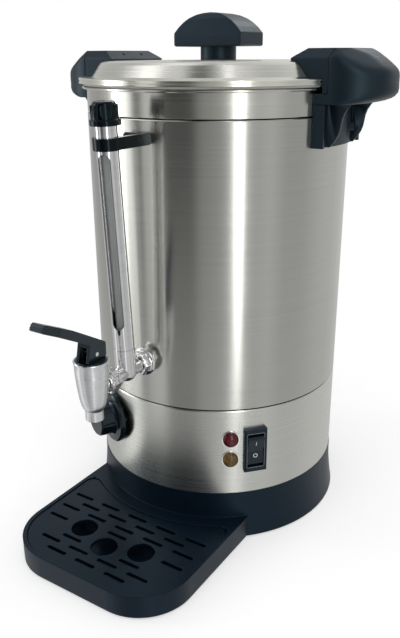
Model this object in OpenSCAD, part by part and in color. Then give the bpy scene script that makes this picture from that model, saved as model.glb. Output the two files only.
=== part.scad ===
// Hot water urn: a hung steel tank inside a steel jacket, over a plastic base with a drip tray.
// Origin: centre of the urn on the counter. Z is up, the tap faces -Y, the handles are at +X and -X.

/* [Urn body] */
// Outer radius of the jacket and of the base shell
jacket_r = 112; // [100:1:130]
// Thickness of the steel sheet
sheet_t = 0.8; // [0.6:0.1:1]
// Height of the jacket between its two seams
jacket_h = 234.1; // [200:1:280]
// Height of the base shell, which holds the controls
shell_h = 80.5; // [76:0.5:100]
// Air gap between the jacket and the wall of the tank
tank_gap = 7.2; // [6.5:0.1:9]
// Height of the tank's floor above the seam of the base shell
tank_floor_rise = 20.5; // [18:0.5:23]
// Height of the polished neck of the tank above the jacket
neck_h = 19.3; // [17:0.5:24]
// How far the rolled rim stands out from the neck
rim_out = 3.9; // [3:0.1:4.5]
// Height of the rolled rim
rim_h = 2.1; // [1.8:0.1:2.6]

/* [Base and drip tray] */
// Height of the base ring's top above the counter
ring_h = 45; // [40:1:60]
// How far the base ring flares out at the counter
ring_flare = 4.2; // [2:0.1:6]
// Wall of the base ring
ring_wall = 2.5; // [2:0.1:3]
// Gap between the counter and the plastic, left by the feet
foot_gap = 1.5; // [1:0.1:2.5]
// Width of the drip tray
tray_w = 163.2; // [140:1:180]
// How far the tray reaches out in front of the jacket
tray_reach = 108.4; // [95:1:130]
// Height of the tray's rim above the counter
tray_h = 21; // [18:0.5:26]
// Radius of the tray's front corners
tray_corner = 46; // [30:1:55]
// Thickness of the tray's floor
tray_floor_t = 2.5; // [2:0.1:3]
// Width of the rim around the drip grid
tray_rim = 4.1; // [3.6:0.1:6]
// Thickness of the drip grid
grid_t = 3; // [2.5:0.1:4]
// Gap all round the drip grid
grid_gap = 0.5; // [0.3:0.1:0.8]
// Length of a drip slot
slot_len = 20.3; // [16:0.1:22]
// Width of a drip slot
slot_w = 3.6; // [2.5:0.1:5]
// Diameter of the three round drain holes
drain_d = 23; // [16:0.5:24]

/* [Controls] */
// Angle of the thermostat knob from the front, to the left
knob_az = 25; // [20:1:30]
// Height of the knob's axis above the base ring
knob_rise = 50; // [42:1:52]
// Diameter of the knob's skirt
knob_d = 48; // [40:1:54]
// Diameter of the knob's grip
grip_d = 31; // [26:1:34]
// How far the knob stands out from the shell
knob_reach = 20.5; // [18:0.5:26]
// Diameter of the thermostat shaft
shaft_d = 6; // [5:0.5:8]
// Angle of the indicator lamps from the front, to the right
lamp_az = 37.2; // [33:0.2:38]
// Height of the lower lamp above the base ring
lamp_rise = 34.1; // [28:0.5:38]
// Distance between the two lamps
lamp_pitch = 19.5; // [17:0.5:26]
// Diameter of a lamp lens
lens_d = 13.4; // [11:0.2:15]
// Angle of the switch from the front, to the right
switch_az = 48; // [47:0.5:55]
// Height of the switch's centre above the base ring
switch_rise = 42.3; // [36:0.5:46]
// Width of the switch bezel
switch_w = 20; // [18:0.5:22]
// Height of the switch bezel
switch_h = 40.5; // [36:0.5:44]
// Travel of the rocker from off to on, in degrees
rocker_travel = 14; // [10:1:18]
// Height of the power inlet above the base ring
inlet_rise = 36; // [30:1:44]

/* [Tap] */
// Height of the shank's axis above the seam of the base shell
tap_rise = 40.5; // [37:0.5:57]
// Distance of the tap's axis from the jacket
tap_reach = 69.5; // [66:0.5:80]
// Distance of the sight tube's axis from the jacket
sight_reach = 29; // [28:0.5:31]
// Outer diameter of the shank
shank_d = 13.4; // [12.6:0.2:15]
// Bore of the shank
shank_bore = 8.6; // [7:0.2:9.4]
// Diameter of the tap body at its rim
tap_rim_d = 27.6; // [26:0.2:30]
// Outer diameter of the spout's end
spout_d = 14.2; // [13:0.2:16]
// Bore of the spout
spout_bore = 9.8; // [8:0.2:10]
// Height from the shank's axis up to the rim of the tap body
tap_up = 25; // [23:0.5:29]
// Height from the shank's axis down to the end of the spout
tap_down = 25; // [23:0.5:31]
// Width of the tap lever
lever_w = 12.2; // [11:0.2:14]
// Reach of the tap lever from its pin
lever_reach = 52.6; // [46:0.2:66]
// Diameter of the lever pin
pin_d = 3.2; // [2.6:0.1:3.4]
// Running clearance of shafts and pins, on the radius
run_gap = 0.05; // [0.02:0.01:0.09]

/* [Sight tube] */
// Angle that the sight tube leans away from the jacket
sight_lean = 3; // [0:0.5:4]
// Outer diameter of the guard tube
guard_d = 16.4; // [15.4:0.1:17]
// Wall of the guard tube
guard_wall = 1; // [0.8:0.1:1.2]
// Width of the window slot in the guard tube
window_w = 9.5; // [6:0.5:10.5]
// Angle that the window slot is turned from the front, to the right
window_az = 15; // [-20:1:40]
// Outer diameter of the sight glass
glass_d = 10; // [9:0.2:11]
// Distance from the jacket's top down to the clip's centre
clip_drop = 13.4; // [10:0.2:30]
// Height of the sight tube's cap
cap_h = 16; // [14:0.5:20]

/* [Lid] */
// Height of the rolled edge of the lid
lid_edge_h = 4.4; // [3.6:0.1:5.5]
// How far the lid's edge stands out from the jacket
lid_out = 6; // [5:0.1:6.5]
// Height of the dome above the lid's edge
dome_h = 13.1; // [11:0.5:18]
// Thickness of the gasket between rim and lid
gasket_t = 2; // [1.5:0.1:3]
// Length of the lid knob
top_knob_l = 64; // [54:1:72]
// Thickness of the lid knob
top_knob_w = 38; // [32:1:42]
// Height of the lid knob above its stem
top_knob_h = 26; // [20:1:30]
// Diameter of the stem of the lid knob
top_stem_d = 30; // [24:1:32]
// Height of the stem of the lid knob
top_stem_h = 10.5; // [8:0.5:16]

/* [Handles] */
// Width of a handle and of the lid's ear beside it
handle_w = 75; // [66:1:80]
// How far a handle reaches out from the jacket
handle_reach = 44; // [40:1:52]
// Distance from the jacket's top down to the foot of the handle
handle_drop = 22.6; // [21:0.5:30]
// Thickness of the handle's plate against the jacket
plate_t = 4; // [3:0.5:5]
// Thickness of the lid ear's leg
leg_t = 3.7; // [3:0.1:4.5]
// Height of the handles and ears above the lid's dome
ear_rise = 8; // [6:0.5:11]
// Distance between the two webs under the grip, outside
web_span = 50; // [44:1:56]

/* [Hidden] */
$fn = 72;
eps = 0.01;

// Colours
slate = [0.15, 0.17, 0.20];
steel = [0.72, 0.71, 0.69];
chrome_col = [0.80, 0.81, 0.83];
rubber_col = [0.10, 0.10, 0.11];
brass_col = [0.78, 0.62, 0.32];
silicone_col = [0.88, 0.87, 0.84];

// Clearances that the parts share
face_gap = 0.1;
free_gap = 0.3;

// Heights above the counter
shell_top = ring_h + shell_h;
jacket_top = shell_top + jacket_h;
neck_top = jacket_top + neck_h;
rim_top = neck_top + rim_h;
lid_z = rim_top + gasket_t;
lid_edge_z = lid_z + lid_edge_h;
lid_top = lid_edge_z + dome_h;
tank_floor = shell_top + tank_floor_rise;

// Base ring and tray
ring_top_r = jacket_r + 0.4;
shelf_r = jacket_r - 15;
shelf_t = 2.5;
ring_steps = 8;
plate_z = 6;
plate_sheet = 1.2;
plate_top = plate_z + plate_sheet;
boss_r = jacket_r - 9;
boss_d = 9;
boss_az = [45, 135, 225, 315];
screw_az = [20, 110, 200, 290];
tapping_d = 3.5;
screw_d = 4;
foot_r = jacket_r - 26;
foot_d = 18;
vent_len = jacket_r * 0.62;
vent_pitch = jacket_r / 10;
vent_w = 4;
tray_front = jacket_r + tray_reach;
tray_z = foot_gap + tray_floor_t;
basin_z = tray_z + tray_floor_t;
grid_back_r = jacket_r + 14.5;
grid_corner = 8;
grid_top = tray_h - 0.7;
grid_z = grid_top - grid_t;
grid_ledge = 2.5;
grid_side = tray_w / 2 - tray_rim;
grid_front = tray_front - tray_rim;
// Half of the spacing between slots in one row, and the depth of the grid
slot_pitch = tray_w * 3 / 32;
grid_depth = grid_front - grid_back_r;
// Rows of drip slots: share of the grid's depth from its front, then the columns that have a slot
slot_rows = [
    [0.128, [0, 2]], [0.232, [1, 3]], [0.335, [2]], [0.521, [4]], [0.589, [0]],
    [0.694, [0, 2, 4]], [0.8, [1, 3]], [0.905, [0, 2, 4]]
];
// Round drain holes: column, share of the grid's depth from its front
drains = [[-2, 0.516], [0, 0.4], [2, 0.516]];

// Tank
tank_r = jacket_r - sheet_t - tank_gap;
neck_r = jacket_r - 0.2;
rim_r = neck_r + rim_out;
lip_in = 2.2;
flange_in = 20;
stud_r = jacket_r - 14;
stud_d = 5;
stud_az = [62, 180, 298];
stud_len = 34;
tap_z = shell_top + tap_rise;

// Heater under the tank
heater_r = 62;
heater_t = 4;
heater_z = tank_floor - heater_t;
element_r = 48;
element_d = 8;
warm_r = 26;
warm_d = 6;
element_gap = 40;
element_z = heater_z - element_d / 2;
warm_z = heater_z - warm_d / 2;

// Controls
knob_z = ring_h + knob_rise;
lamp_z = ring_h + lamp_rise;
switch_z = ring_h + switch_rise;
inlet_z = ring_h + inlet_rise;
stat_w = 32;
stat_d = 18;
stat_screw = 14;
head_seat = 0.5;
stat_front = -sheet_t - 1.6;
bush_d = 10;
lamp_d = lens_d - 2;
housing_w = switch_w - 2.4;
housing_h = switch_h - 3;
housing_depth = 22;
bezel_t = 3.4;
rocker_w = switch_w - 5.6;
rocker_l = switch_h - 10.5;
rocker_pivot = -4;
inlet_w = 20.4;
inlet_h = 28.4;
inlet_depth = 22;
inlet_wall = 2;
inlet_flange_t = 2.6;
pin_w = 4;
pin_t = 2;
// Inlet pins: across, along
pin_spots = [[-1.5, -7], [-1.5, 7], [2.5, 0]];

// Tap, from the shank's axis
tap_y = -(jacket_r + tap_reach);
sight_y = -(jacket_r + sight_reach);
shank_r = shank_d / 2;
shank_in = 16;
flange_d = 24.8;
nut_t = 6;
washer_t = 2;
tap_rim_z = tap_z + tap_up;
spout_z = tap_z - tap_down;
cavity_r = 8;
seat_z = tap_z - 8;
union_end = tap_y + 18;
tee_r = guard_d / 2 + 0.3;
tee_top = tap_z + 21;
glass_seat = tap_z + 10;
stem_d = 5;
bonnet_top = tap_rim_z + 0.6;
bonnet_gap = 0.3;
lever_base = bonnet_top + bonnet_gap;
pin_z = lever_base + 4.9;
lever_half = 9.6;
cheek_t = 2.6;
rim_band = 11;
spout_len = 9;
head_d = 6.2;
head_top = pin_z + 3.2;
cup_top = tap_z + 3;
chamber_top = tap_rim_z - 3;
chamber_r = 5.4;

// Sight tube
guard_r = guard_d / 2;
guard_top = jacket_top + 8.4;
glass_top = guard_top + 1.6;
cap_z = jacket_top - 0.6;
clip_w = 4.5;
clip_z = jacket_top - clip_drop;
clip_y = sight_y - (clip_z - tap_z) * tan(sight_lean);
clip_t = 8.6;
window_bottom = tee_top + 18;
window_top = clip_z - clip_t / 2 - 2.5;

// Lid, handles
lid_r = jacket_r + lid_out;
dome_r = jacket_r - 5.5;
crown_r = dome_r - 6;
leg_r = lid_r + 0.4;
ear_r = leg_r + leg_t;
handle_in = ear_r + free_gap;
ear_top = lid_top + ear_rise;
ear_bottom = rim_top - 4;
ear_tip = jacket_r - 26;
foot_z = jacket_top - handle_drop;
grip_z = ear_bottom - 7;
grip_round = handle_w / 2;
grip_centre = jacket_r + handle_reach - grip_round;
web_t = 3;
slant_az = 35.4;
slant_el = 34;
handle_screw_az = 9;
handle_screw_z = foot_z + 13;
handle_boss_h = 3;
ear_screw_az = 8;
ear_screw_r = ear_tip + 7;

// ---- Helpers ----

// Places children on the wall: local Z points outward, local Y up, az in degrees right of front
module on_wall(az, z, r = jacket_r) {
    rotate([0, 0, az]) translate([0, -r, z]) rotate([90, 0, 0]) children();
}

// Turns children so that their Z axis points to the front
module to_front() {
    rotate([90, 0, 0]) children();
}

module tube(outer, inner, h) {
    difference() {
        cylinder(r = outer, h = h);
        translate([0, 0, -1]) cylinder(r = inner, h = h + 2);
    }
}

module block(w, l, h) {
    translate([-w / 2, -l / 2, 0]) cube([w, l, h]);
}

// Flat bar with round ends, along X
module stadium(l, w, h) {
    block(l - w, w, h);
    for (s = [-1, 1]) translate([s * (l - w) / 2, 0, 0]) cylinder(d = w, h = h);
}

module hex(across, h) {
    cylinder(d = across / cos(30), h = h, $fn = 6);
}

module pan_screw(d, head_d, head_h, l) {
    cylinder(d = d, h = l);
    translate([0, 0, -head_h]) cylinder(d = head_d, h = head_h);
}

// ---- Base ring with the drip tray ----

function ring_r(z) = ring_top_r + ring_flare * pow(1 - z / ring_h, 2);

module ring_section() {
    outer = [for (i = [0:ring_steps]) let (z = foot_gap + (ring_h - foot_gap) * i / ring_steps)
        [ring_r(z), z]];
    inner = [for (i = [ring_steps - 1:-1:0]) let (z = foot_gap + (ring_h - foot_gap) * i / ring_steps)
        [ring_r(z) - ring_wall, z]];
    shelf = [[shelf_r, ring_h], [shelf_r, ring_h - shelf_t], [ring_top_r - ring_wall, ring_h - shelf_t]];
    polygon(concat(outer, shelf, inner));
}

// Tray outline in plan, drawn in by inset, with its back end inside the ring
module tray_plan(inset) {
    half = tray_w / 2 - inset;
    front = tray_front - inset;
    corner = tray_corner - inset;
    translate([-half, -(front - corner)]) square([2 * half, front - corner - jacket_r / 2]);
    translate([-(half - corner), -front]) square([2 * (half - corner), front - corner]);
    for (s = [-1, 1]) translate([s * (half - corner), -(front - corner)]) circle(r = corner);
}

// Outline of the drip grid, grown by g: the tray's outline with an arc for its back edge
module grid_plan(g) {
    back = grid_back_r - g;
    side = grid_side + g;
    q = grid_corner;
    cx = side - q;
    cy = -sqrt(pow(back + q, 2) - cx * cx);
    difference() {
        tray_plan(tray_rim - g);
        circle(r = back, $fn = 180);
        for (s = [-1, 1]) scale_x(s) difference() {
            polygon([[cx, cy], [side + 1, cy], [side + 1, 0], [cx * back / (back + q), 0],
                [cx * back / (back + q), cy * back / (back + q)]]);
            translate([cx, cy]) circle(r = q);
        }
    }
}

// Mirrors left to right for s = -1
module scale_x(s) {
    if (s < 0) mirror([1, 0, 0]) children();
    else children();
}

module tray_solid() {
    translate([0, 0, foot_gap]) linear_extrude(tray_h - foot_gap) difference() {
        tray_plan(0);
        circle(r = ring_top_r - ring_wall);
    }
}

module tray_hollows() {
    back = grid_back_r + grid_ledge;
    // Basin under the grid
    translate([0, 0, basin_z]) linear_extrude(tray_h) difference() {
        tray_plan(tray_rim + grid_ledge);
        circle(r = back, $fn = 180);
    }
    // Seat of the grid
    translate([0, 0, grid_z - 0.2]) linear_extrude(tray_h) grid_plan(grid_gap);
    // Hollow under the floor
    translate([0, 0, -1]) linear_extrude(tray_z + 1) difference() {
        tray_plan(ring_wall);
        circle(r = ring_r(0) + eps);
    }
    // Hollow between the ring and the basin
    translate([0, 0, tray_z - eps]) linear_extrude(tray_h - tray_z - ring_wall) difference() {
        intersection() {
            circle(r = back - ring_wall);
            tray_plan(tray_rim + grid_ledge);
        }
        circle(r = ring_r(0) + eps);
    }
}

module base_ring() {
    color(slate) difference() {
        union() {
            rotate_extrude($fn = 144) ring_section();
            difference() {
                tray_solid();
                tray_hollows();
            }
            // Bosses for the bottom plate
            for (a = boss_az) rotate([0, 0, a]) translate([0, -boss_r, plate_top])
                cylinder(d = boss_d, h = ring_h - shelf_t - plate_top + eps);
            // Ribs that stiffen the wall
            for (a = boss_az) rotate([0, 0, a]) translate([-1, -ring_top_r + 1, plate_top + 4])
                cube([2, ring_top_r - boss_r - 3, ring_h - shelf_t - plate_top - 4 + eps]);
        }
        for (a = boss_az) rotate([0, 0, a]) translate([0, -boss_r, plate_top - 1])
            cylinder(d = tapping_d - 0.5, h = 16);
        for (a = screw_az) rotate([0, 0, a]) translate([0, -boss_r, ring_h - shelf_t - 1])
            cylinder(d = screw_d + 0.4, h = shelf_t + 2);
    }
}

module drip_grid() {
    color(slate) translate([0, 0, grid_z]) difference() {
        linear_extrude(grid_t) grid_plan(0);
        for (row = slot_rows) for (c = row[1]) for (s = c == 0 ? [1] : [-1, 1])
            translate([s * c * slot_pitch, -grid_front + row[0] * grid_depth, -1])
                stadium(slot_len, slot_w, grid_t + 2);
        for (d = drains) translate([d[0] * slot_pitch, -grid_front + d[1] * grid_depth, -1])
            cylinder(d = drain_d, h = grid_t + 2);
    }
}

// ---- Underside ----

module bottom_plate() {
    color(steel) translate([0, 0, plate_z]) difference() {
        cylinder(r = ring_top_r - ring_wall - 1, h = plate_sheet);
        for (a = boss_az) rotate([0, 0, a]) translate([0, -boss_r, -1])
            cylinder(d = tapping_d + 0.5, h = plate_sheet + 2);
        for (a = boss_az) rotate([0, 0, a]) translate([0, -foot_r, -1])
            cylinder(d = 6.4, h = plate_sheet + 2);
        for (i = [-3:3]) translate([0, i * vent_pitch, -1]) stadium(vent_len, vent_w, plate_sheet + 2);
    }
}

module bottom_screws() {
    color(steel) for (a = boss_az) rotate([0, 0, a]) translate([0, -boss_r, plate_z])
        pan_screw(tapping_d - 0.6, 7, 2.2, 14);
}

module foot() {
    rotate_extrude() polygon([
        [0, 0], [foot_d / 2 - 1.5, 0], [foot_d / 2, 1.5], [foot_d / 2 - 1, plate_z],
        [3.1, plate_z], [3.1, plate_top + 0.1], [4.2, plate_top + 0.1], [2.6, plate_top + 3],
        [0, plate_top + 3]
    ]);
}

module rubber_feet() {
    color(rubber_col) {
        for (a = boss_az) rotate([0, 0, a]) translate([0, -foot_r, 0]) foot();
        for (s = [-1, 1]) translate([s * tray_w * 0.3, -(tray_front - tray_corner * 0.6), 0])
            rotate_extrude() polygon([[0, 0], [6.5, 0], [7.5, 1], [7, tray_z], [0, tray_z]]);
    }
}

// ---- Base shell ----

module base_shell() {
    t = sheet_t;
    r = jacket_r;
    color(steel) difference() {
        rotate_extrude($fn = 144) polygon([
            [r - flange_in + 6, ring_h], [r, ring_h], [r, shell_top - 1.6], [r - 0.4, shell_top - 0.5],
            [r - 1.4, shell_top], [r - flange_in, shell_top], [r - flange_in, shell_top - t],
            [r - 1.8, shell_top - t], [r - t, shell_top - 1.9], [r - t, ring_h + t],
            [r - flange_in + 6, ring_h + t]
        ]);
        for (a = screw_az) rotate([0, 0, a]) translate([0, -boss_r, ring_h - 1])
            cylinder(d = screw_d + 0.2, h = t + 2);
        for (a = stud_az) rotate([0, 0, a]) translate([0, -stud_r, shell_top - t - 1])
            cylinder(d = stud_d + 0.6, h = t + 2);
        on_wall(-knob_az, knob_z) translate([0, 0, -8]) cylinder(d = bush_d + 0.6, h = 12);
        for (s = [-1, 1]) on_wall(-knob_az, knob_z) translate([s * stat_screw, 0, -8])
            cylinder(d = screw_d, h = 12);
        for (i = [0, 1]) on_wall(lamp_az, lamp_z + i * lamp_pitch) translate([0, 0, -8])
            cylinder(d = lamp_d + 0.4, h = 12);
        on_wall(switch_az, switch_z) translate([0, 0, -8])
            block(housing_w + 0.4, housing_h + 0.4, 12);
        on_wall(180, inlet_z) translate([0, 0, -8]) block(inlet_w + 0.6, inlet_h + 0.6, 12);
        for (s = [-1, 1]) on_wall(180, inlet_z) translate([0, s * 20, -8])
            cylinder(d = 3.6, h = 12);
    }
}

module ring_screws() {
    color(steel) for (a = screw_az) rotate([0, 0, a])
        translate([0, -boss_r, ring_h - shelf_t]) {
            pan_screw(screw_d, 7.5, 2.2, shelf_t + sheet_t + 5);
            translate([0, 0, shelf_t + sheet_t]) difference() {
                hex(7, 3);
                translate([0, 0, -1]) cylinder(d = screw_d, h = 5);
            }
        }
}

// ---- Jacket and tank ----

module outer_jacket() {
    t = sheet_t;
    r = jacket_r;
    color(steel) difference() {
        rotate_extrude($fn = 144) polygon([
            [r - flange_in, shell_top], [r - 1, shell_top], [r, shell_top + 0.9],
            [r, jacket_top - 0.7], [r - 0.5, jacket_top], [r - lip_in, jacket_top],
            [r - lip_in, jacket_top - t], [r - t, jacket_top - t], [r - t, shell_top + t],
            [r - flange_in, shell_top + t]
        ]);
        for (a = stud_az) rotate([0, 0, a]) translate([0, -stud_r, shell_top - 1])
            cylinder(d = stud_d + 0.6, h = t + 2);
        on_wall(0, tap_z) translate([0, 0, -4]) cylinder(d = shank_d + 0.6, h = 8);
        on_wall(0, clip_z) translate([0, 0, -4]) cylinder(d = 3.4, h = 8);
        for (s = [-1, 1]) for (k = [-1, 1]) on_wall(s * 90 + k * handle_screw_az, handle_screw_z)
            translate([0, 0, -4]) cylinder(d = screw_d, h = 8);
    }
}

module tank() {
    t = sheet_t;
    r = tank_r;
    seat = jacket_r - lip_in;
    color(chrome_col) difference() {
        union() {
            rotate_extrude($fn = 144) polygon([
                [0, tank_floor], [r - 3, tank_floor], [r - 0.9, tank_floor + 0.9], [r, tank_floor + 3],
                [r, jacket_top - tank_gap], [seat - 0.4, jacket_top - 1], [seat, jacket_top],
                [jacket_r - 1, jacket_top], [neck_r, jacket_top + 1.2], [neck_r, neck_top - 0.2],
                [neck_r + 0.6, neck_top], [rim_r - 0.6, neck_top], [rim_r, neck_top + 0.6],
                [rim_r, rim_top - 0.6], [rim_r - 0.6, rim_top], [neck_r, rim_top],
                [neck_r - t, rim_top - 0.8], [neck_r - t, jacket_top + 1.6],
                [jacket_r - 1.4, jacket_top + t], [seat - 0.6, jacket_top + t],
                [seat - 1.2, jacket_top - 0.5], [r - t, jacket_top - tank_gap + 0.3],
                [r - t, tank_floor + 3], [r - 3.2, tank_floor + t], [0, tank_floor + t]
            ]);
            for (a = stud_az) rotate([0, 0, a]) translate([0, -stud_r, tank_floor - stud_len])
                cylinder(d = stud_d, h = stud_len + t / 2);
        }
        on_wall(0, tap_z, tank_r) translate([0, 0, -4]) cylinder(d = shank_d + 0.4, h = 8);
    }
}

module tank_nuts() {
    color(steel) for (a = stud_az) rotate([0, 0, a])
        translate([0, -stud_r, shell_top - sheet_t - 4]) difference() {
            hex(8, 4);
            translate([0, 0, -1]) cylinder(d = stud_d, h = 6);
        }
}

// ---- Heater and its parts ----

module heater_plate() {
    color(steel) translate([0, 0, heater_z]) cylinder(r = heater_r, h = heater_t);
}

// Ring element with a gap where its two ends turn down into terminals
module ring_element(r, d, z, drop) {
    half = element_gap / 2 * 26 / r;
    rotate([0, 0, 90 + half]) translate([0, 0, z])
        rotate_extrude(angle = 360 - 2 * half, $fn = 96) translate([r, 0]) circle(d = d, $fn = 24);
    for (s = [-1, 1]) rotate([0, 0, 90 + s * half]) translate([r, 0, z]) {
        sphere(d = d, $fn = 24);
        translate([0, 0, -drop]) cylinder(d = d, h = drop);
        translate([-0.4, -3.1, -drop - 8]) cube([0.8, 6.2, 8 + eps]);
    }
}

module heating_element() {
    color(chrome_col) ring_element(element_r, element_d, element_z, 8);
}

module keep_warm_element() {
    color(brass_col) ring_element(warm_r, warm_d, warm_z, 9);
}

module thermal_cutout() {
    color(rubber_col) translate([0, 0, heater_z - 9]) {
        cylinder(d = 17, h = 9);
        for (s = [-1, 1]) translate([s * 5 - 0.4, -3.1, -7]) cube([0.8, 6.2, 7 + eps]);
        translate([0, 0, -2]) cylinder(d = 3.5, h = 2 + eps);
    }
}

module thermostat() {
    color(silicone_col) on_wall(-knob_az, knob_z) difference() {
        union() {
            translate([0, 0, stat_front - stat_d]) block(stat_w, stat_w, stat_d);
            translate([0, 0, stat_front - eps]) cylinder(d = bush_d, h = 2.4 + sheet_t);
            for (s = [-1, 1]) translate([s * 8, -12, stat_front - stat_d - 7])
                block(0.8, 6.3, 7 + eps);
        }
        translate([0, 0, stat_front - 12]) cylinder(d = shaft_d + 2 * run_gap, h = 20);
        for (s = [-1, 1]) translate([s * stat_screw, 0, stat_front - 6])
            cylinder(d = screw_d - 1, h = 8);
    }
}

module thermostat_screws() {
    color(steel) on_wall(-knob_az, knob_z) for (s = [-1, 1])
        translate([s * stat_screw, 0, 0]) rotate([180, 0, 0])
            translate([0, 0, head_seat]) pan_screw(screw_d - 1.2, 5.5, 1.4, 6);
}

// Sensing bulb under the heater plate and the thin tube that leads to the thermostat
module thermostat_bulb() {
    bulb_y = (element_r + warm_r) / 2;
    bulb_z = heater_z - 3 - face_gap;
    drop_z = knob_z + stat_w / 2 + 8;
    stat_r = jacket_r + stat_front - stat_d / 2;
    stat_x = -stat_r * sin(knob_az);
    stat_y = -stat_r * cos(knob_az);
    color(brass_col) {
        translate([-15, -bulb_y, bulb_z]) rotate([0, 90, 0]) cylinder(d = 6, h = 30);
        run([[-15, -bulb_y, bulb_z], [-19, -bulb_y, bulb_z], [-19, -bulb_y, drop_z],
            [stat_x, stat_y, drop_z], [stat_x, stat_y, knob_z + stat_w / 2]], 1.8);
    }
}

// Round tube along a chain of straight stretches, with a short barrel at each bend
module run(pts, d) {
    for (i = [0:len(pts) - 2]) {
        v = pts[i + 1] - pts[i];
        l = norm(v);
        translate(pts[i]) rotate([0, acos(v[2] / l), atan2(v[1], v[0])])
            cylinder(d = d, h = l, $fn = 16);
        if (i > 0) translate(pts[i] - [0, 0, d * 0.7]) cylinder(d = d + 0.4, h = d * 1.4);
    }
}

// ---- Thermostat knob ----

module thermostat_shaft() {
    color(steel) on_wall(-knob_az, knob_z) translate([0, 0, stat_front - 11])
        cylinder(d = shaft_d, h = knob_reach - 5 - stat_front + 11);
}

module thermostat_knob() {
    skirt = 6.2;
    color(slate) on_wall(-knob_az, knob_z) difference() {
        rotate_extrude() polygon([
            [0, 2.4], [5.4, 2.4], [5.4, 3.4], [knob_d / 2 - 3, 3.4], [knob_d / 2 - 3, 1.2],
            [knob_d / 2 - 0.8, 1.2], [knob_d / 2, 2.2], [knob_d / 2, skirt - 1.4],
            [knob_d / 2 - 1.6, skirt], [grip_d / 2 + 1.5, skirt + 0.6], [grip_d / 2, skirt + 2],
            [grip_d / 2 - 0.8, knob_reach - 1.4], [grip_d / 2 - 2.2, knob_reach], [0, knob_reach]
        ]);
        translate([0, 0, 2]) cylinder(d = shaft_d, h = knob_reach - 7);
        for (i = [0:11]) rotate([0, 0, i * 30]) translate([grip_d / 2 + 1.2, 0, skirt + 2])
            cylinder(d = 4.4, h = knob_reach, $fn = 24);
    }
}

// ---- Lamps and switch ----

module lens() {
    rotate_extrude() polygon(concat(
        [[0, -4], [lamp_d / 2 - 1, -4], [lamp_d / 2 - 1, 0.9], [lens_d / 2, 0.9], [lens_d / 2, 1.8]],
        [for (i = [1:5]) [lens_d / 2 * cos(i * 18), 1.8 + 3 * sin(i * 18)]]
    ));
}

module red_lens() {
    color([0.6, 0.05, 0.08]) on_wall(lamp_az, lamp_z + lamp_pitch) lens();
}

module amber_lens() {
    color([0.85, 0.55, 0.15]) on_wall(lamp_az, lamp_z) lens();
}

module lamp_holders() {
    color(silicone_col) for (i = [0, 1]) on_wall(lamp_az, lamp_z + i * lamp_pitch) {
        difference() {
            union() {
                translate([0, 0, -20]) cylinder(d = lamp_d, h = 20.2);
                cylinder(d = lens_d + 1.8, h = 0.8);
            }
            translate([0, 0, -4.1]) cylinder(d = lamp_d - 1.8, h = 8);
        }
        for (s = [-1, 1]) translate([0, s * 2.5, -26]) block(4.8, 0.8, 6 + eps);
    }
}

module switch_housing() {
    open_l = rocker_l + 1.2;
    color(rubber_col) on_wall(switch_az, switch_z) difference() {
        union() {
            translate([0, 0, -housing_depth]) block(housing_w, housing_h, housing_depth + eps);
            difference() {
                block(switch_w, switch_h, bezel_t);
                for (s = [-1, 1]) translate([s * switch_w / 2, 0, bezel_t]) rotate([0, 45, 0])
                    block(1.4, switch_h + 2, 1.4 / 2);
            }
            for (s = [-1, 0, 1]) translate([0, s * 11, -housing_depth - 7]) block(6.3, 0.8, 7 + eps);
        }
        translate([0, 0, -12]) block(rocker_w + 0.8, open_l, 20);
        // Pivot sockets in the two cheeks
        translate([-rocker_w / 2 - 1.2, 0, rocker_pivot]) rotate([0, 90, 0])
            cylinder(d = 3 + 2 * run_gap, h = rocker_w + 2.4);
    }
}

// The rocker at rest is off: its lower end is pressed in
module switch_rocker() {
    half = rocker_l / 2;
    color([0.12, 0.13, 0.15]) on_wall(switch_az, switch_z) translate([0, 0, rocker_pivot])
        rotate([rocker_travel / 2, 0, 0]) {
            intersection() {
                translate([-rocker_w / 2, 0, 0]) rotate([90, 0, 90]) linear_extrude(rocker_w)
                    polygon([[-half, -1], [-half, 8.4], [0, 6.6], [half, 8.4], [half, -1], [5, -4],
                        [-5, -4]]);
                translate([-rocker_w / 2, 0, 0]) rotate([0, 90, 0]) cylinder(r = half, h = rocker_w);
            }
            translate([-rocker_w / 2 - 1, 0, 0]) rotate([0, 90, 0])
                cylinder(d = 3, h = rocker_w + 2);
        }
}

// ---- Power inlet and terminals ----

module power_inlet() {
    color(rubber_col) on_wall(180, inlet_z) difference() {
        union() {
            translate([0, 0, -inlet_depth]) block(inlet_w, inlet_h, inlet_depth + eps);
            block(inlet_w + 2.4, 48, inlet_flange_t);
        }
        translate([0, 0, -15]) block(inlet_w - 2 * inlet_wall, inlet_h - 2 * inlet_wall, 30);
        for (p = pin_spots) translate([p[0], p[1], -inlet_depth - 1])
            block(pin_w + 0.1, pin_t + 0.1, inlet_depth);
        for (s = [-1, 1]) translate([0, s * 20, -1]) cylinder(d = 3.6, h = 8);
    }
}

module inlet_pins() {
    color(brass_col) on_wall(180, inlet_z) for (p = pin_spots) translate([p[0], p[1], -inlet_depth - 7])
        block(pin_w, pin_t, inlet_depth + 2);
}

module inlet_screws() {
    color(steel) on_wall(180, inlet_z) for (s = [-1, 1]) translate([0, s * 20, 0]) {
        translate([0, 0, inlet_flange_t]) rotate([180, 0, 0]) pan_screw(3, 5.6, 1.8, 9);
        translate([0, 0, -sheet_t - 3.2]) difference() {
            hex(5.5, 2.4);
            translate([0, 0, -1]) cylinder(d = 3, h = 5);
        }
    }
}

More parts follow.
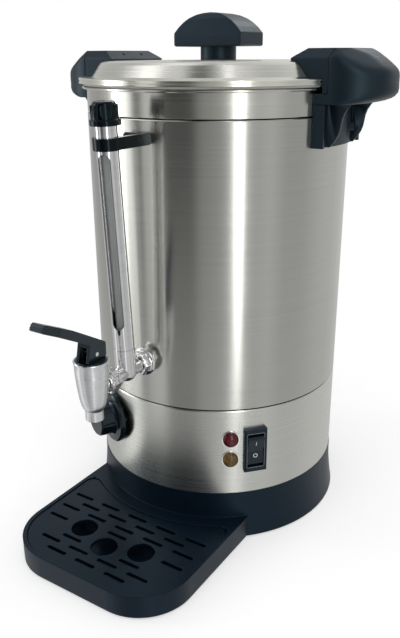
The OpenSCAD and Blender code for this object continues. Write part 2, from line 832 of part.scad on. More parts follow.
module terminal_block() {
    color(silicone_col) translate([0, 62, plate_top]) difference() {
        block(44, 20, 16);
        for (i = [-1:1]) translate([i * 14, -11, 9]) rotate([-90, 0, 0]) cylinder(d = 5, h = 22);
        for (i = [-1:1]) for (s = [-1, 1]) translate([i * 14, s * 5.5, 9]) cylinder(d = 4, h = 9);
        for (s = [-1, 1]) translate([s * 7, 0, -1]) cylinder(d = 3.4, h = 20);
    }
}

// ---- Tap ----

// Leans the sight tube's parts about their foot on the shank's axis
module leaning() {
    translate([0, sight_y, tap_z]) rotate([sight_lean, 0, 0]) translate([0, 0, -tap_z]) children();
}

module tap_shank() {
    inner_end = -(tank_r - shank_in);
    color(chrome_col) difference() {
        union() {
            translate([0, inner_end, tap_z]) to_front() cylinder(d = shank_d, h = inner_end - union_end);
            leaning() translate([0, 0, tap_z]) {
                cylinder(r = tee_r, h = tee_top - tap_z);
                sphere(r = tee_r);
                cylinder(r = guard_r - guard_wall - face_gap, h = tee_top - tap_z + 6);
            }
        }
        translate([0, inner_end + 1, tap_z]) to_front()
            cylinder(d = shank_bore, h = inner_end - union_end + 2);
        leaning() {
            translate([0, 0, tap_z]) cylinder(d = 5, h = tee_top - tap_z);
            translate([0, 0, glass_seat]) cylinder(d = glass_d + 2.4, h = 30);
        }
    }
}

module shank_flange() {
    color(chrome_col) translate([0, -jacket_r - face_gap, tap_z]) to_front() difference() {
        union() {
            rotate_extrude() polygon([
                [0, 0], [flange_d / 2, 0], [flange_d / 2, 1.6], [flange_d / 2 - 1, 2.4],
                [flange_d / 2 - 1, 5], [flange_d / 2 - 0.6, 5.6], [flange_d / 2 - 0.6, 7.6],
                [flange_d / 2 - 1.6, 8.6], [0, 8.6]
            ]);
            translate([0, 0, 8.6 - eps]) hex(18, 6);
        }
        translate([0, 0, -1]) cylinder(d = shank_d + 2 * face_gap, h = 20);
    }
}

module shank_washers() {
    color(silicone_col) for (y = [-(tank_r - sheet_t - 0.9), -(tank_r + 0.9 + washer_t)])
        translate([0, y + (y > -tank_r ? washer_t : 0), tap_z]) to_front()
            difference() {
                cylinder(d = 24, h = washer_t);
                translate([0, 0, -1]) cylinder(d = shank_d + 2 * face_gap, h = washer_t + 2);
            }
}

module shank_nut() {
    color(steel) translate([0, -(tank_r - sheet_t - 1 - washer_t - nut_t), tap_z]) to_front()
        difference() {
            hex(22, nut_t);
            translate([0, 0, -1]) cylinder(d = shank_d, h = nut_t + 2);
        }
}

module union_nut() {
    color(chrome_col) translate([0, union_end + 6, tap_z]) to_front() difference() {
        union() {
            hex(18, 8);
            translate([0, 0, 8 - eps]) cylinder(d = 16.5, h = 2.2);
        }
        translate([0, 0, -1]) cylinder(d = shank_d, h = 14);
    }
}

// Radius of the tap body at height t between spout and rim, from 0 to 1
function tap_r(t) = spout_d / 2 + 0.9 + (tap_rim_d / 2 - 2.2 - spout_d / 2) * (0.5 * t + 0.9 * t * t
    - 0.4 * t * t * t);

module tap_body() {
    band_z = tap_rim_z - rim_band;
    low_z = spout_z + spout_len;
    color(chrome_col) difference() {
        union() {
            translate([0, tap_y, 0]) rotate_extrude() polygon(concat(
                [[0, spout_z], [spout_d / 2 - 0.5, spout_z], [spout_d / 2, spout_z + 0.6],
                    [spout_d / 2 + 0.3, low_z - 0.4], [spout_d / 2 + 0.9, low_z]],
                [for (i = [1:7]) let (t = i / 7) [tap_r(t), low_z + (band_z - low_z) * t]],
                [[tap_rim_d / 2 - 0.9, band_z], [tap_rim_d / 2 - 0.7, tap_rim_z - 4],
                    [tap_rim_d / 2, tap_rim_z - 1.6], [tap_rim_d / 2, tap_rim_z], [0, tap_rim_z]]
            ));
            translate([0, union_end, tap_z]) to_front() cylinder(d = shank_d - 1.6, h = union_end - tap_y);
        }
        translate([0, tap_y, seat_z + 3.4]) cylinder(r = cavity_r, h = 60);
        translate([0, tap_y, seat_z]) cylinder(r1 = spout_bore / 2, r2 = cavity_r, h = 3.4 + eps);
        translate([0, tap_y, spout_z - 1]) cylinder(d = spout_bore, h = seat_z - spout_z + 1 + eps);
        translate([0, tap_y, tap_rim_z - 5]) cylinder(r = tap_rim_d / 2 - 1.4, h = 10);
        translate([0, union_end + 1, tap_z]) to_front() cylinder(d = shank_bore, h = union_end - tap_y + 1);
    }
}

module tap_bonnet() {
    top_r = tap_rim_d / 2 - 1.5;
    color(slate) translate([0, tap_y, 0]) difference() {
        rotate_extrude() polygon([
            [0, tap_rim_z - 12], [cavity_r - face_gap, tap_rim_z - 12],
            [cavity_r - face_gap, tap_rim_z - 5], [top_r, tap_rim_z - 5], [top_r, bonnet_top - 0.8],
            [top_r - 0.5, bonnet_top - 0.2], [top_r - 0.9, bonnet_top], [0, bonnet_top]
        ]);
        translate([0, 0, tap_rim_z - 13]) cylinder(r = chamber_r, h = chamber_top - tap_rim_z + 13);
        translate([0, 0, tap_rim_z - 13]) cylinder(d = stem_d + 2 * run_gap, h = 20);
    }
}

module tap_stem() {
    color(steel) translate([0, tap_y, 0]) difference() {
        union() {
            translate([0, 0, tap_z - 3]) cylinder(d = stem_d, h = head_top - tap_z + 2);
            translate([0, 0, bonnet_top + bonnet_gap]) cylinder(d = head_d, h = head_top - lever_base);
            translate([0, 0, cup_top]) cylinder(d = 9.6, h = 1.2);
        }
        translate([-5, 0, pin_z]) rotate([0, 90, 0]) cylinder(d = pin_d + 2 * run_gap, h = 10);
    }
}

// Soft valve cup on the stem's foot, closing the seat
module seat_cup() {
    low = seat_z + 1 + free_gap;
    slope = (cavity_r - spout_bore / 2) / 3.4;
    rim = spout_bore / 2 + slope * 1 - free_gap;
    color(silicone_col) translate([0, tap_y, 0]) difference() {
        rotate_extrude() polygon([
            [0, low - 0.6], [rim - 1.4, low - 0.6], [rim, low], [rim + slope * 1.6, low + 1.6],
            [cavity_r - 1.2, low + 3], [cavity_r - 1.2, cup_top - 2], [5, cup_top], [0, cup_top]
        ]);
        translate([0, 0, tap_z - 3]) cylinder(d = stem_d, h = 20);
    }
}

// Compression spring round the stem, as one unbroken helix
spring_turns = 5;
spring_wire = 1;
spring_steps = 16;
spring_r = 3.9;
spring_low = cup_top + 1.2 + spring_wire / 2 + 0.05;
spring_high = chamber_top - spring_wire / 2 - 0.05;

function helix_point(i) = let (n = spring_turns * spring_steps, a = 360 * i / spring_steps)
    [spring_r * cos(a), spring_r * sin(a), spring_low + (spring_high - spring_low) * i / n];

function helix_ring(i, sides) = let (a = 360 * i / spring_steps, p = helix_point(i))
    [for (k = [0:sides - 1]) let (b = 360 * k / sides)
        [p[0] + spring_wire / 2 * cos(b) * cos(a), p[1] + spring_wire / 2 * cos(b) * sin(a),
            p[2] + spring_wire / 2 * sin(b)]];

module tap_spring() {
    sides = 6;
    n = spring_turns * spring_steps;
    points = [for (i = [0:n]) each helix_ring(i, sides)];
    walls = [for (i = [0:n - 1]) for (k = [0:sides - 1]) let (k2 = (k + 1) % sides)
        each [[i * sides + k, i * sides + k2, (i + 1) * sides + k2],
            [i * sides + k, (i + 1) * sides + k2, (i + 1) * sides + k]]];
    caps = [for (k = [1:sides - 2]) each [[0, k + 1, k], [n * sides, n * sides + k, n * sides + k + 1]]];
    color(steel) translate([0, tap_y, 0]) polyhedron(points, concat(walls, caps));
}

// Side view of the lever from its pin: forward along -Y, and up
module lever_side() {
    s = lever_reach;
    polygon([
        [lever_half, lever_base - pin_z], [10.6, -3.4], [10.6, 6], [9.6, 7.2], [-0.43 * s, 0.496 * s],
        [-0.905 * s, 0.725 * s], [-0.94 * s, 0.73 * s], [-0.965 * s, 0.71 * s], [-s, 0.65 * s],
        [-0.975 * s, 0.626 * s], [-0.73 * s, 0.502 * s], [-0.38 * s, 0.312 * s], [-6.4, 9],
        [-lever_half, lever_base - pin_z]
    ]);
}

module tap_lever() {
    slot = lever_w - 2 * cheek_t;
    color(slate) translate([0, tap_y, pin_z]) difference() {
        translate([-lever_w / 2, 0, 0]) rotate([90, 0, 90]) linear_extrude(lever_w) lever_side();
        // Slot for the head of the stem, open to the front and below
        translate([-slot / 2, -20, lever_base - pin_z - 1]) cube([slot, 27.8, 7.4 - lever_base + pin_z]);
        translate([-lever_w, 0, 0]) rotate([0, 90, 0]) cylinder(d = pin_d, h = 2 * lever_w);
        // Grip grooves along both sides of the outer end
        for (s = [-1, 1]) for (g = [-2, 0, 2])
            translate([s * lever_w / 2, -0.835 * lever_reach, 0.62 * lever_reach])
                rotate([-25.5, 0, 0]) translate([0, 0, g]) block(0.8, lever_reach / 3, 0.9);
    }
}

module lever_pin() {
    color(chrome_col) translate([-lever_w / 2 - 0.4, tap_y, pin_z]) rotate([0, 90, 0])
        cylinder(d = pin_d, h = lever_w + 0.8);
}

// ---- Sight tube ----

module guard_tube() {
    color(chrome_col) leaning() difference() {
        translate([0, 0, tee_top + face_gap])
            tube(guard_r, guard_r - guard_wall, guard_top - tee_top - face_gap);
        rotate([0, 0, window_az]) translate([0, -guard_r, window_bottom + window_w / 2]) {
            translate([-window_w / 2, -1, 0])
                cube([window_w, guard_r, window_top - window_bottom - window_w]);
            for (z = [0, window_top - window_bottom - window_w]) translate([0, guard_r - 1, z])
                to_front() cylinder(d = window_w, h = guard_r);
        }
    }
}

module sight_glass() {
    color([0.85, 0.92, 0.95, 0.4]) leaning() translate([0, 0, glass_seat + 1])
        tube(glass_d / 2, glass_d / 2 - 1.2, glass_top - glass_seat - 1);
}

module sight_seals() {
    color(silicone_col) leaning() {
        translate([0, 0, glass_seat + 1]) tube(glass_d / 2 + 1.2, glass_d / 2, 7);
        translate([0, 0, guard_top - 7]) tube(guard_r - guard_wall, glass_d / 2, 6);
    }
}

module sight_cap() {
    top = cap_z + cap_h;
    wall_r = guard_r + 1.8;
    color(slate) leaning() difference() {
        union() {
            rotate_extrude() polygon([
                [0, cap_z], [guard_r + 3, cap_z], [guard_r + 3.1, cap_z + 3.6], [guard_r + 2.6, cap_z + 4],
                [wall_r, cap_z + 4.2], [wall_r - 1.4, top - 2.2], [wall_r - 1.9, top - 0.9],
                [wall_r - 2.9, top], [0, top]
            ]);
            for (i = [0:9]) rotate([0, 0, i * 36 + 12]) translate([wall_r - 1, 0, cap_z + 3])
                cylinder(d = 1.9, h = cap_h - 5.4, $fn = 16);
        }
        translate([0, 0, cap_z - 1]) cylinder(r = guard_r + face_gap, h = guard_top - cap_z + 1.1);
        translate([0, 0, cap_z]) cylinder(r = glass_d / 2 + face_gap, h = glass_top - cap_z + face_gap);
        cylinder(d = 1.6, h = top + 5);
    }
}

module sight_clip() {
    ring_out = guard_r + 2.3;
    back = -jacket_r - clip_t * 0.4;
    color(slate) difference() {
        union() {
            leaning() translate([0, 0, clip_z - clip_t / 2]) cylinder(r = ring_out, h = clip_t);
            // Strap to the jacket, flush with the ring's side, with a foot for its screw
            translate([ring_out - clip_w, clip_y, clip_z - clip_t / 2]) cube([clip_w, back - clip_y, clip_t]);
            translate([-ring_out, back, clip_z]) rotate([0, 90, 0]) cylinder(d = clip_t, h = 2 * ring_out);
        }
        leaning() translate([0, 0, clip_z - clip_t]) cylinder(r = guard_r + face_gap, h = 2 * clip_t);
        cylinder(r = jacket_r + face_gap, h = clip_z + clip_t, $fn = 144);
        on_wall(0, clip_z) cylinder(d = 2.8, h = 7);
    }
}

module clip_screw() {
    color(steel) on_wall(0, clip_z, jacket_r - sheet_t) translate([0, 0, -0.2])
        pan_screw(2.6, 6, 2, 7);
}

// ---- Handles and lid ears ----

// Plan of the grip: a round end on straight flanks
module grip_plan() {
    translate([grip_centre, 0]) circle(r = grip_round);
    translate([jacket_r / 2, -grip_round]) square([grip_centre - jacket_r / 2, 2 * grip_round]);
}

// Side view of the grip: flat top, sloping outward, rounded nose
module grip_side() {
    out = jacket_r + handle_reach;
    polygon([
        [jacket_r / 2, grip_z - 1], [out - 23, grip_z - 1], [out - 14, grip_z], [out - 4, grip_z + 3.6],
        [out - 0.6, grip_z + 6.6], [out, grip_z + 10], [out, grip_z + 19], [out - 2.6, ear_top - 15],
        [out - 11, ear_top - 8.2], [out - 19, ear_top - 3], [out - 27, ear_top], [jacket_r / 2, ear_top]
    ]);
}

// Slanting faces that take the grip's two upper corners away towards its nose
module grip_slants() {
    for (s = [-1, 1]) translate([jacket_r + 8, s * (handle_w / 2 - 7.1), ear_top])
        rotate([0, 0, s * slant_az]) rotate([0, -slant_el, 0]) translate([0, -60, -60]) cube([60, 120, 120]);
}

// Front view, shared with the lid's ear: flat sides with a chamfer under the top
module ear_front() {
    half = handle_w / 2;
    polygon([
        [-half, foot_z - 20], [half, foot_z - 20], [half, ear_top - 7], [half - 1.4, ear_top - 5],
        [half - 6.5, ear_top], [-half + 6.5, ear_top], [-half + 1.4, ear_top - 5], [-half, ear_top - 7]
    ]);
}

// Outer edge of the two webs under the grip, in an S
module web_side() {
    in = jacket_r - 6;
    top = grip_z + 1;
    h = top - foot_z;
    polygon(concat(
        [[in, top], [in, foot_z]],
        [for (i = [0:8]) let (t = i / 8)
            [jacket_r + 3 + 17 * (t + 0.12 * sin(360 * t)), foot_z + h * t]]
    ));
}

// One handle, on the +X side
module handle() {
    half = handle_w / 2;
    difference() {
        union() {
            // Grip
            intersection() {
                linear_extrude(ear_top + 1) grip_plan();
                translate([0, half + 1, 0]) rotate([90, 0, 0]) linear_extrude(handle_w + 2) grip_side();
                rotate([90, 0, 90]) linear_extrude(2 * jacket_r) ear_front();
            }
            // Plate against the jacket
            intersection() {
                translate([0, 0, foot_z]) cylinder(r = jacket_r + plate_t, h = grip_z - foot_z, $fn = 144);
                translate([jacket_r / 2, -half, foot_z]) cube([jacket_r, handle_w, grip_z - foot_z]);
            }
            // Side flanges of the plate
            for (s = [-1, 1]) translate([jacket_r / 2, s * (half - web_t / 2) - web_t / 2, foot_z])
                cube([jacket_r / 2 + 3, web_t, grip_z - foot_z]);
            // Bosses for the screws
            for (k = [-1, 1]) on_wall(90 + k * handle_screw_az, handle_screw_z)
                cylinder(d = boss_d - 1, h = plate_t + handle_boss_h);
            // Webs that carry the grip
            for (s = [-1, 1]) translate([0, s * (web_span / 2 - web_t / 2) + web_t / 2, 0])
                rotate([90, 0, 0]) linear_extrude(web_t) web_side();
        }
        grip_slants();
        // Room for the jacket
        cylinder(r = jacket_r + face_gap, h = ear_bottom - free_gap, $fn = 144);
        // Room for the lid's edge and ear
        translate([0, 0, ear_bottom - free_gap - eps]) cylinder(r = handle_in, h = 80, $fn = 144);
        // Blind holes for the screws, which come from inside the jacket
        for (k = [-1, 1]) on_wall(90 + k * handle_screw_az, handle_screw_z) translate([0, 0, -10])
            cylinder(d = screw_d - 1, h = 10 + plate_t + handle_boss_h - 1.2);
    }
}

module handle_right() {
    color(slate) handle();
}

module handle_left() {
    color(slate) rotate([0, 0, 180]) handle();
}

module handle_screws() {
    color(steel) for (s = [-1, 1]) for (k = [-1, 1])
        on_wall(s * 90 + k * handle_screw_az, handle_screw_z) translate([0, 0, -sheet_t - 0.2])
            pan_screw(screw_d - 1.2, 7.5, 2.2, sheet_t + plate_t + handle_boss_h - 1.2);
}

// Outline of the lid from above, grown by g: its edge, its sloping side and its crown
function lid_outer(g) = [
    [lid_r + g, lid_edge_z + g - 0.5], [lid_r - 0.6 + g, lid_edge_z + g], [dome_r + 1.4 + g, lid_edge_z + g],
    [dome_r + g, lid_edge_z + 1.2 + g], [crown_r + g, lid_top - 3.4 + g], [crown_r - 1.6 + g, lid_top - 1.7 + g],
    [crown_r - 5 + g, lid_top - 0.8 + g], [crown_r - 12, lid_top - 0.4 + g], [crown_r - 40, lid_top + g],
    [0, lid_top + g]
];

module lid_shell() {
    t = sheet_t;
    color(steel) difference() {
        rotate_extrude($fn = 144) polygon(concat(
            [[lid_r - 1.4, lid_z], [lid_r, lid_z], [lid_r, lid_z + 1.3], [lid_r - 0.6, lid_z + 1.7],
                [lid_r - 0.6, lid_z + 2.3], [lid_r, lid_z + 2.7]],
            lid_outer(0),
            [[0, lid_top - t], [crown_r - 40, lid_top - t], [crown_r - 12, lid_top - 0.4 - t],
                [crown_r - 5.4, lid_top - 0.8 - t], [crown_r - 2.2, lid_top - 2.5],
                [crown_r - 0.8, lid_top - 3.8], [dome_r - 0.9, lid_edge_z + 1],
                [dome_r + 0.8, lid_edge_z - t], [lid_r - 1.4, lid_edge_z - t]]
        ));
        cylinder(d = 5.4, h = lid_top + 5);
        for (s = [-1, 1]) for (k = [-1, 1]) rotate([0, 0, s * 90 + k * ear_screw_az])
            translate([0, -ear_screw_r, 0]) cylinder(d = screw_d, h = lid_top + 5);
    }
}

// Soft ring on the tank's rim with a lip inside the neck
module lid_gasket() {
    in = neck_r - sheet_t - 2.6;
    color(silicone_col) rotate_extrude($fn = 144) polygon([
        [in, lid_z - free_gap], [in, rim_top - 7], [in + 0.8, rim_top - 8], [in + 2, rim_top - 7],
        [in + 2.2, rim_top + free_gap], [neck_r + 2.4, rim_top + free_gap],
        [neck_r + 2.4, lid_z - free_gap]
    ]);
}

// One ear of the lid, on the +X side: it lies on the dome and its leg hangs over the edge
module lid_ear() {
    half = handle_w / 2;
    difference() {
        intersection() {
            linear_extrude(ear_top) difference() {
                circle(r = ear_r, $fn = 144);
                circle(r = jacket_r / 3);
            }
            rotate([90, 0, 90]) linear_extrude(2 * jacket_r) ear_front();
            translate([0, half + 1, 0]) rotate([90, 0, 0]) linear_extrude(handle_w + 2) polygon([
                [ear_tip, lid_top - 8], [ear_tip, lid_top + 1.2], [ear_tip + 1.6, lid_top + 2.2],
                [ear_tip + 11, ear_top], [ear_r + 1, ear_top], [ear_r + 1, ear_bottom],
                [jacket_r - 20, ear_bottom]
            ]);
        }
        rotate_extrude($fn = 144) polygon(concat(
            [[0, 0], [lid_r + 0.4, 0], [lid_r + 0.4, lid_edge_z]], lid_outer(face_gap)));
        for (k = [-1, 1]) rotate([0, 0, 90 + k * ear_screw_az]) translate([0, -ear_screw_r, 0])
            cylinder(d = screw_d - 1, h = lid_top + 5.5);
    }
}

module lid_ear_right() {
    color(slate) lid_ear();
}

module lid_ear_left() {
    color(slate) rotate([0, 0, 180]) lid_ear();
}

module ear_screws() {
    color(steel) for (s = [-1, 1]) for (k = [-1, 1]) rotate([0, 0, s * 90 + k * ear_screw_az])
        translate([0, -ear_screw_r, lid_top - 1.2 - sheet_t]) pan_screw(screw_d - 1.2, 6.5, 1.8, 6);
}

// ---- Lid knob ----

module lid_knob() {
    low = lid_top + top_stem_h;
    top = low + top_knob_h;
    half = top_knob_l / 2;
    side_h = top_knob_h * 0.4;
    thick = top_knob_w / 2;
    // Arc over the top, through the two shoulders
    rise = top_knob_h - side_h;
    arc_r = (half * half + rise * rise) / (2 * rise);
    arc_a = asin(half / arc_r);
    color(slate) difference() {
        union() {
            translate([0, 0, lid_top]) cylinder(d = top_stem_d, h = top_stem_h + 1);
            intersection() {
                translate([0, thick + 1, 0]) rotate([90, 0, 0]) linear_extrude(top_knob_w + 2)
                    polygon(concat(
                        [[-half + 1, low], [half - 1, low], [half, low + 1]],
                        [for (i = [0:12]) let (a = arc_a * (1 - i / 6))
                            [arc_r * sin(a), top - arc_r + arc_r * cos(a)]],
                        [[-half, low + 1]]));
                translate([-half - 1, 0, 0]) rotate([90, 0, 90]) linear_extrude(top_knob_l + 2)
                    polygon([[-thick + 1, low], [thick - 1, low], [thick, low + 1], [thick, low + 8],
                        [thick - 1.6, top - 5], [thick - 3.6, top - 1.5], [thick - 6.5, top],
                        [-thick + 6.5, top], [-thick + 3.6, top - 1.5], [-thick + 1.6, top - 5],
                        [-thick, low + 8], [-thick, low + 1]]);
            }
        }
        translate([0, 0, lid_top - 1]) cylinder(d = 4.2, h = 16);
    }
}

module knob_screw() {
    color(steel) translate([0, 0, lid_top - sheet_t]) {
        pan_screw(4, 9, 2.6, 14);
        translate([0, 0, 0]) mirror([0, 0, 1]) cylinder(d = 14, h = 1);
    }
}

// ---- Drawing ----

base_ring();
drip_grid();
bottom_plate();
bottom_screws();
rubber_feet();
base_shell();
ring_screws();
outer_jacket();
tank();
tank_nuts();
heater_plate();
heating_element();
keep_warm_element();
thermal_cutout();
thermostat();
thermostat_screws();
thermostat_bulb();
thermostat_shaft();
thermostat_knob();
red_lens();
amber_lens();
lamp_holders();
switch_housing();
switch_rocker();
power_inlet();
inlet_pins();
inlet_screws();
terminal_block();
tap_shank();
shank_flange();
shank_washers();
shank_nut();
union_nut();
tap_body();
tap_bonnet();
tap_stem();
seat_cup();
tap_spring();
tap_lever();
lever_pin();
guard_tube();
sight_glass();
sight_seals();
sight_cap();
sight_clip();
clip_screw();
handle_left();
handle_right();
handle_screws();
lid_gasket();
lid_shell();
lid_ear_left();
lid_ear_right();
ear_screws();
lid_knob();
knob_screw();
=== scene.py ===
import math

import bmesh
import bpy
from bpy.props import FloatProperty, FloatVectorProperty, PointerProperty
from mathutils import Matrix, Vector


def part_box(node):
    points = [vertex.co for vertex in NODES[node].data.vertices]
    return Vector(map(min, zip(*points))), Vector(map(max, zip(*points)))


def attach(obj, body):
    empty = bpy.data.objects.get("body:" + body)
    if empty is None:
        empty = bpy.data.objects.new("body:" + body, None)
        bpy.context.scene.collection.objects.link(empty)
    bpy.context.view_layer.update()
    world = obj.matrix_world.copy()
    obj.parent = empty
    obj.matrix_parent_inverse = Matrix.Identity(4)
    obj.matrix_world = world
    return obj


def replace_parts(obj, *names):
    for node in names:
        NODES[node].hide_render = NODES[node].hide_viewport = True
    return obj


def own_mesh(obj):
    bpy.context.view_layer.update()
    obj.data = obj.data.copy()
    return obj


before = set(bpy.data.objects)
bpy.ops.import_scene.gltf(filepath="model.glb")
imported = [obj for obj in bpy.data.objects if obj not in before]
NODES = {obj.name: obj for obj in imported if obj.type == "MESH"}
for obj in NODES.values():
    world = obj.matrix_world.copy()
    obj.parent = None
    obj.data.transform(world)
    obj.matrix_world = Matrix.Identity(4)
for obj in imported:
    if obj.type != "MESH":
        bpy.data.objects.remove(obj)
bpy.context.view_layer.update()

bl_info = {
    "name": "Hot Water Urn",
    "version": (1, 0, 0),
    "blender": (4, 5, 0),
    "location": "View3D > Sidebar > Urn",
    "description": "Finishes and details a steel hot water urn over its packed solids",
    "category": "Add Mesh",
}

# Places that the details share with the solids: metres, and degrees right of the front
JACKET_R = 0.112
SWITCH_TURN = 48.0
HANDLE_HALF = 0.0375
HANDLE_OUT = 0.156
HANDLE_RECESS = 0.1224
HANDLE_STEP = 0.3767
HANDLE_TOP = 0.4085
TAP_Y = -0.1815
TAP_Z = 0.166
SPRING_LOW = 0.17085
SPRING_HIGH = 0.18735

# What keeps a detail clear of the wall beside it, what counts as the same height, and what counts
# as one point
SKIN = 0.0001
TOUCH = 1e-6
WELD = 1e-7
# Faces that meet at more than this are left with a crisp edge
SHARP = math.radians(38.0)

UP = (0.0, 0.0, 1.0)


# ---- Settings ----


class UrnSteelSettings(bpy.types.PropertyGroup):
    """Finish of the jacket, the base shell, the neck and the lid"""

    jacket_colour: FloatVectorProperty(
        name="Jacket colour",
        description="Colour of the brushed jacket and base shell",
        subtype="COLOR",
        size=3,
        min=0.0,
        max=1.0,
        default=(0.595, 0.602, 0.563),
    )
    polished_colour: FloatVectorProperty(
        name="Polished colour",
        description="Colour of the neck and the lid",
        subtype="COLOR",
        size=3,
        min=0.0,
        max=1.0,
        default=(0.69, 0.688, 0.638),
    )
    jacket_roughness: FloatProperty(
        name="Jacket roughness",
        description="How far the brushing spreads a reflection",
        subtype="FACTOR",
        min=0.05,
        max=1.0,
        default=0.22,
    )
    brush_depth: FloatProperty(
        name="Brush depth",
        description="Depth of the brush marks",
        unit="LENGTH",
        min=0.0,
        max=0.0005,
        precision=6,
        default=0.00003,
    )


class UrnPlasticSettings(bpy.types.PropertyGroup):
    """Finish of the dark plastic mouldings"""

    colour: FloatVectorProperty(
        name="Plastic colour",
        description="Colour of the handles, the lid's ears and knob, and the base",
        subtype="COLOR",
        size=3,
        min=0.0,
        max=1.0,
        default=(0.0048, 0.0098, 0.0145),
    )
    roughness: FloatProperty(
        name="Plastic roughness",
        description="Sheen of the moulded surface",
        subtype="FACTOR",
        min=0.05,
        max=1.0,
        default=0.42,
    )
    edge_radius: FloatProperty(
        name="Edge radius",
        description="Rounding of the mouldings' edges",
        unit="LENGTH",
        min=0.0001,
        max=0.004,
        precision=5,
        default=0.0016,
    )


class UrnStageSettings(bpy.types.PropertyGroup):
    """Camera and studio light"""

    camera_place: FloatVectorProperty(
        name="Camera place",
        description="Where the camera stands",
        subtype="TRANSLATION",
        unit="LENGTH",
        size=3,
        default=(0.331859, -0.542128, 0.402959),
    )
    camera_turn: FloatVectorProperty(
        name="Camera turn",
        description="How the camera is turned",
        subtype="EULER",
        unit="ROTATION",
        size=3,
        default=(math.radians(69.5516), math.radians(0.3375), math.radians(32.7688)),
    )
    camera_lens: FloatProperty(
        name="Focal length",
        description="Focal length over the long side of the picture, in millimetres",
        unit="CAMERA",
        min=10.0,
        max=200.0,
        default=39.696,
    )
    fill_strength: FloatProperty(
        name="Fill",
        description="Strength of the even light from all round",
        min=0.0,
        max=2.0,
        default=0.55,
    )
    top_power: FloatProperty(
        name="Top light",
        description="Power of the large soft light overhead",
        unit="POWER",
        min=0.0,
        max=200.0,
        default=9.0,
    )
    back_power: FloatProperty(
        name="Back light",
        description="Power of the soft light behind, which lifts the slopes of the handles",
        unit="POWER",
        min=0.0,
        max=200.0,
        default=5.0,
    )
    strip_power: FloatProperty(
        name="Strip lights",
        description="Power of the tall soft lights at the sides",
        unit="POWER",
        min=0.0,
        max=200.0,
        default=4.0,
    )


# ---- Materials ----

WHITE = (1.0, 1.0, 1.0)
PLASTIC_SHEEN = (0.56, 0.82, 1.0)
TRAY_SHEEN = (0.36, 0.60, 0.84)
# Share of the plastic's red, green and blue that the base and the grid have
TRAY_CAST = (0.42, 0.6, 0.85)
# Brush marks run round the urn: their number per metre of height, and how long they are drawn
JACKET_MARKS = 1500.0
NECK_MARKS = 1700.0
MARK_DRAW = 5.0
BRUSH_TURN = 0.25
# Heights, in millimetres, between which a joint of two sheets lies in shadow
JACKET_SEAM_SHADOW = (125.4, 126.2)
NECK_SEAM_SHADOW = (359.4, 360.6)
SEAM_SHADOW = (0.01, 0.01, 0.01)
# Depth of the grain on a surface that is nearly smooth, in metres
FAINT = 0.00001
BEVEL_SAMPLES = 6


class Nodes:
    """The node tree of a material or a world, under construction"""

    def __init__(self, owner, output):
        owner.use_nodes = True
        self.nodes, self.links = owner.node_tree.nodes, owner.node_tree.links
        self.nodes.clear()
        self.surface = self.add(output).inputs["Surface"]

    def fill(self, socket, value):
        """Gives a socket a number, a colour or the output that feeds it"""
        if isinstance(value, bpy.types.NodeSocket):
            self.links.new(value, socket)
        elif socket.type == "RGBA":
            socket.default_value = (*value, 1.0)
        else:
            socket.default_value = value

    def add(self, kind, sockets=None, **properties):
        """Adds a node, sets its properties and fills its sockets"""
        node = self.nodes.new(kind)
        for label, value in properties.items():
            setattr(node, label, value)
        for label, value in (sockets or {}).items():
            self.fill(node.inputs[label], value)
        return node

    def math(self, operation, *values):
        """Number made of numbers and outputs"""
        return self.add("ShaderNodeMath", dict(enumerate(values)), operation=operation).outputs[0]

    def place(self):
        """Coordinates of the object, in metres"""
        return self.add("ShaderNodeTexCoord").outputs["Object"]

    def axes(self, vector):
        """X, Y and Z of a vector, by name"""
        return self.add("ShaderNodeSeparateXYZ", {0: vector}).outputs

    def length(self, vector):
        return self.add("ShaderNodeVectorMath", {0: vector}, operation="LENGTH").outputs["Value"]

    def stretch(self, vector, scale):
        """Vector with each axis scaled by itself"""
        return self.add("ShaderNodeMapping", {"Vector": vector, "Scale": scale}).outputs["Vector"]

    def noise(self, vector, scale=1.0, detail=3.0, roughness=0.55):
        sockets = {"Vector": vector, "Scale": scale, "Detail": detail, "Roughness": roughness}
        return self.add("ShaderNodeTexNoise", sockets).outputs["Fac"]

    def spread(self, value, low, high, start=0.3, end=0.7, **properties):
        """Turns a value between start and end into one between low and high"""
        sockets = {"Value": value, "From Min": start, "From Max": end}
        sockets.update({"To Min": low, "To Max": high})
        return self.add("ShaderNodeMapRange", sockets, **properties).outputs["Result"]

    def blend(self, share, first, second):
        """Colour that runs from the first to the second with a share from 0 to 1"""
        sockets = {0: share, 6: first, 7: second}
        return self.add("ShaderNodeMix", sockets, data_type="RGBA").outputs[2]

    def glow(self, kind, strength, colour=WHITE):
        """Shader that gives off light"""
        return self.add(kind, {"Color": colour, "Strength": strength}).outputs[0]

    def choose(self, share, first, second):
        """Shader that runs from the first to the second with a share from 0 to 1"""
        return self.add("ShaderNodeMixShader", {0: share, 1: first, 2: second}).outputs[0]


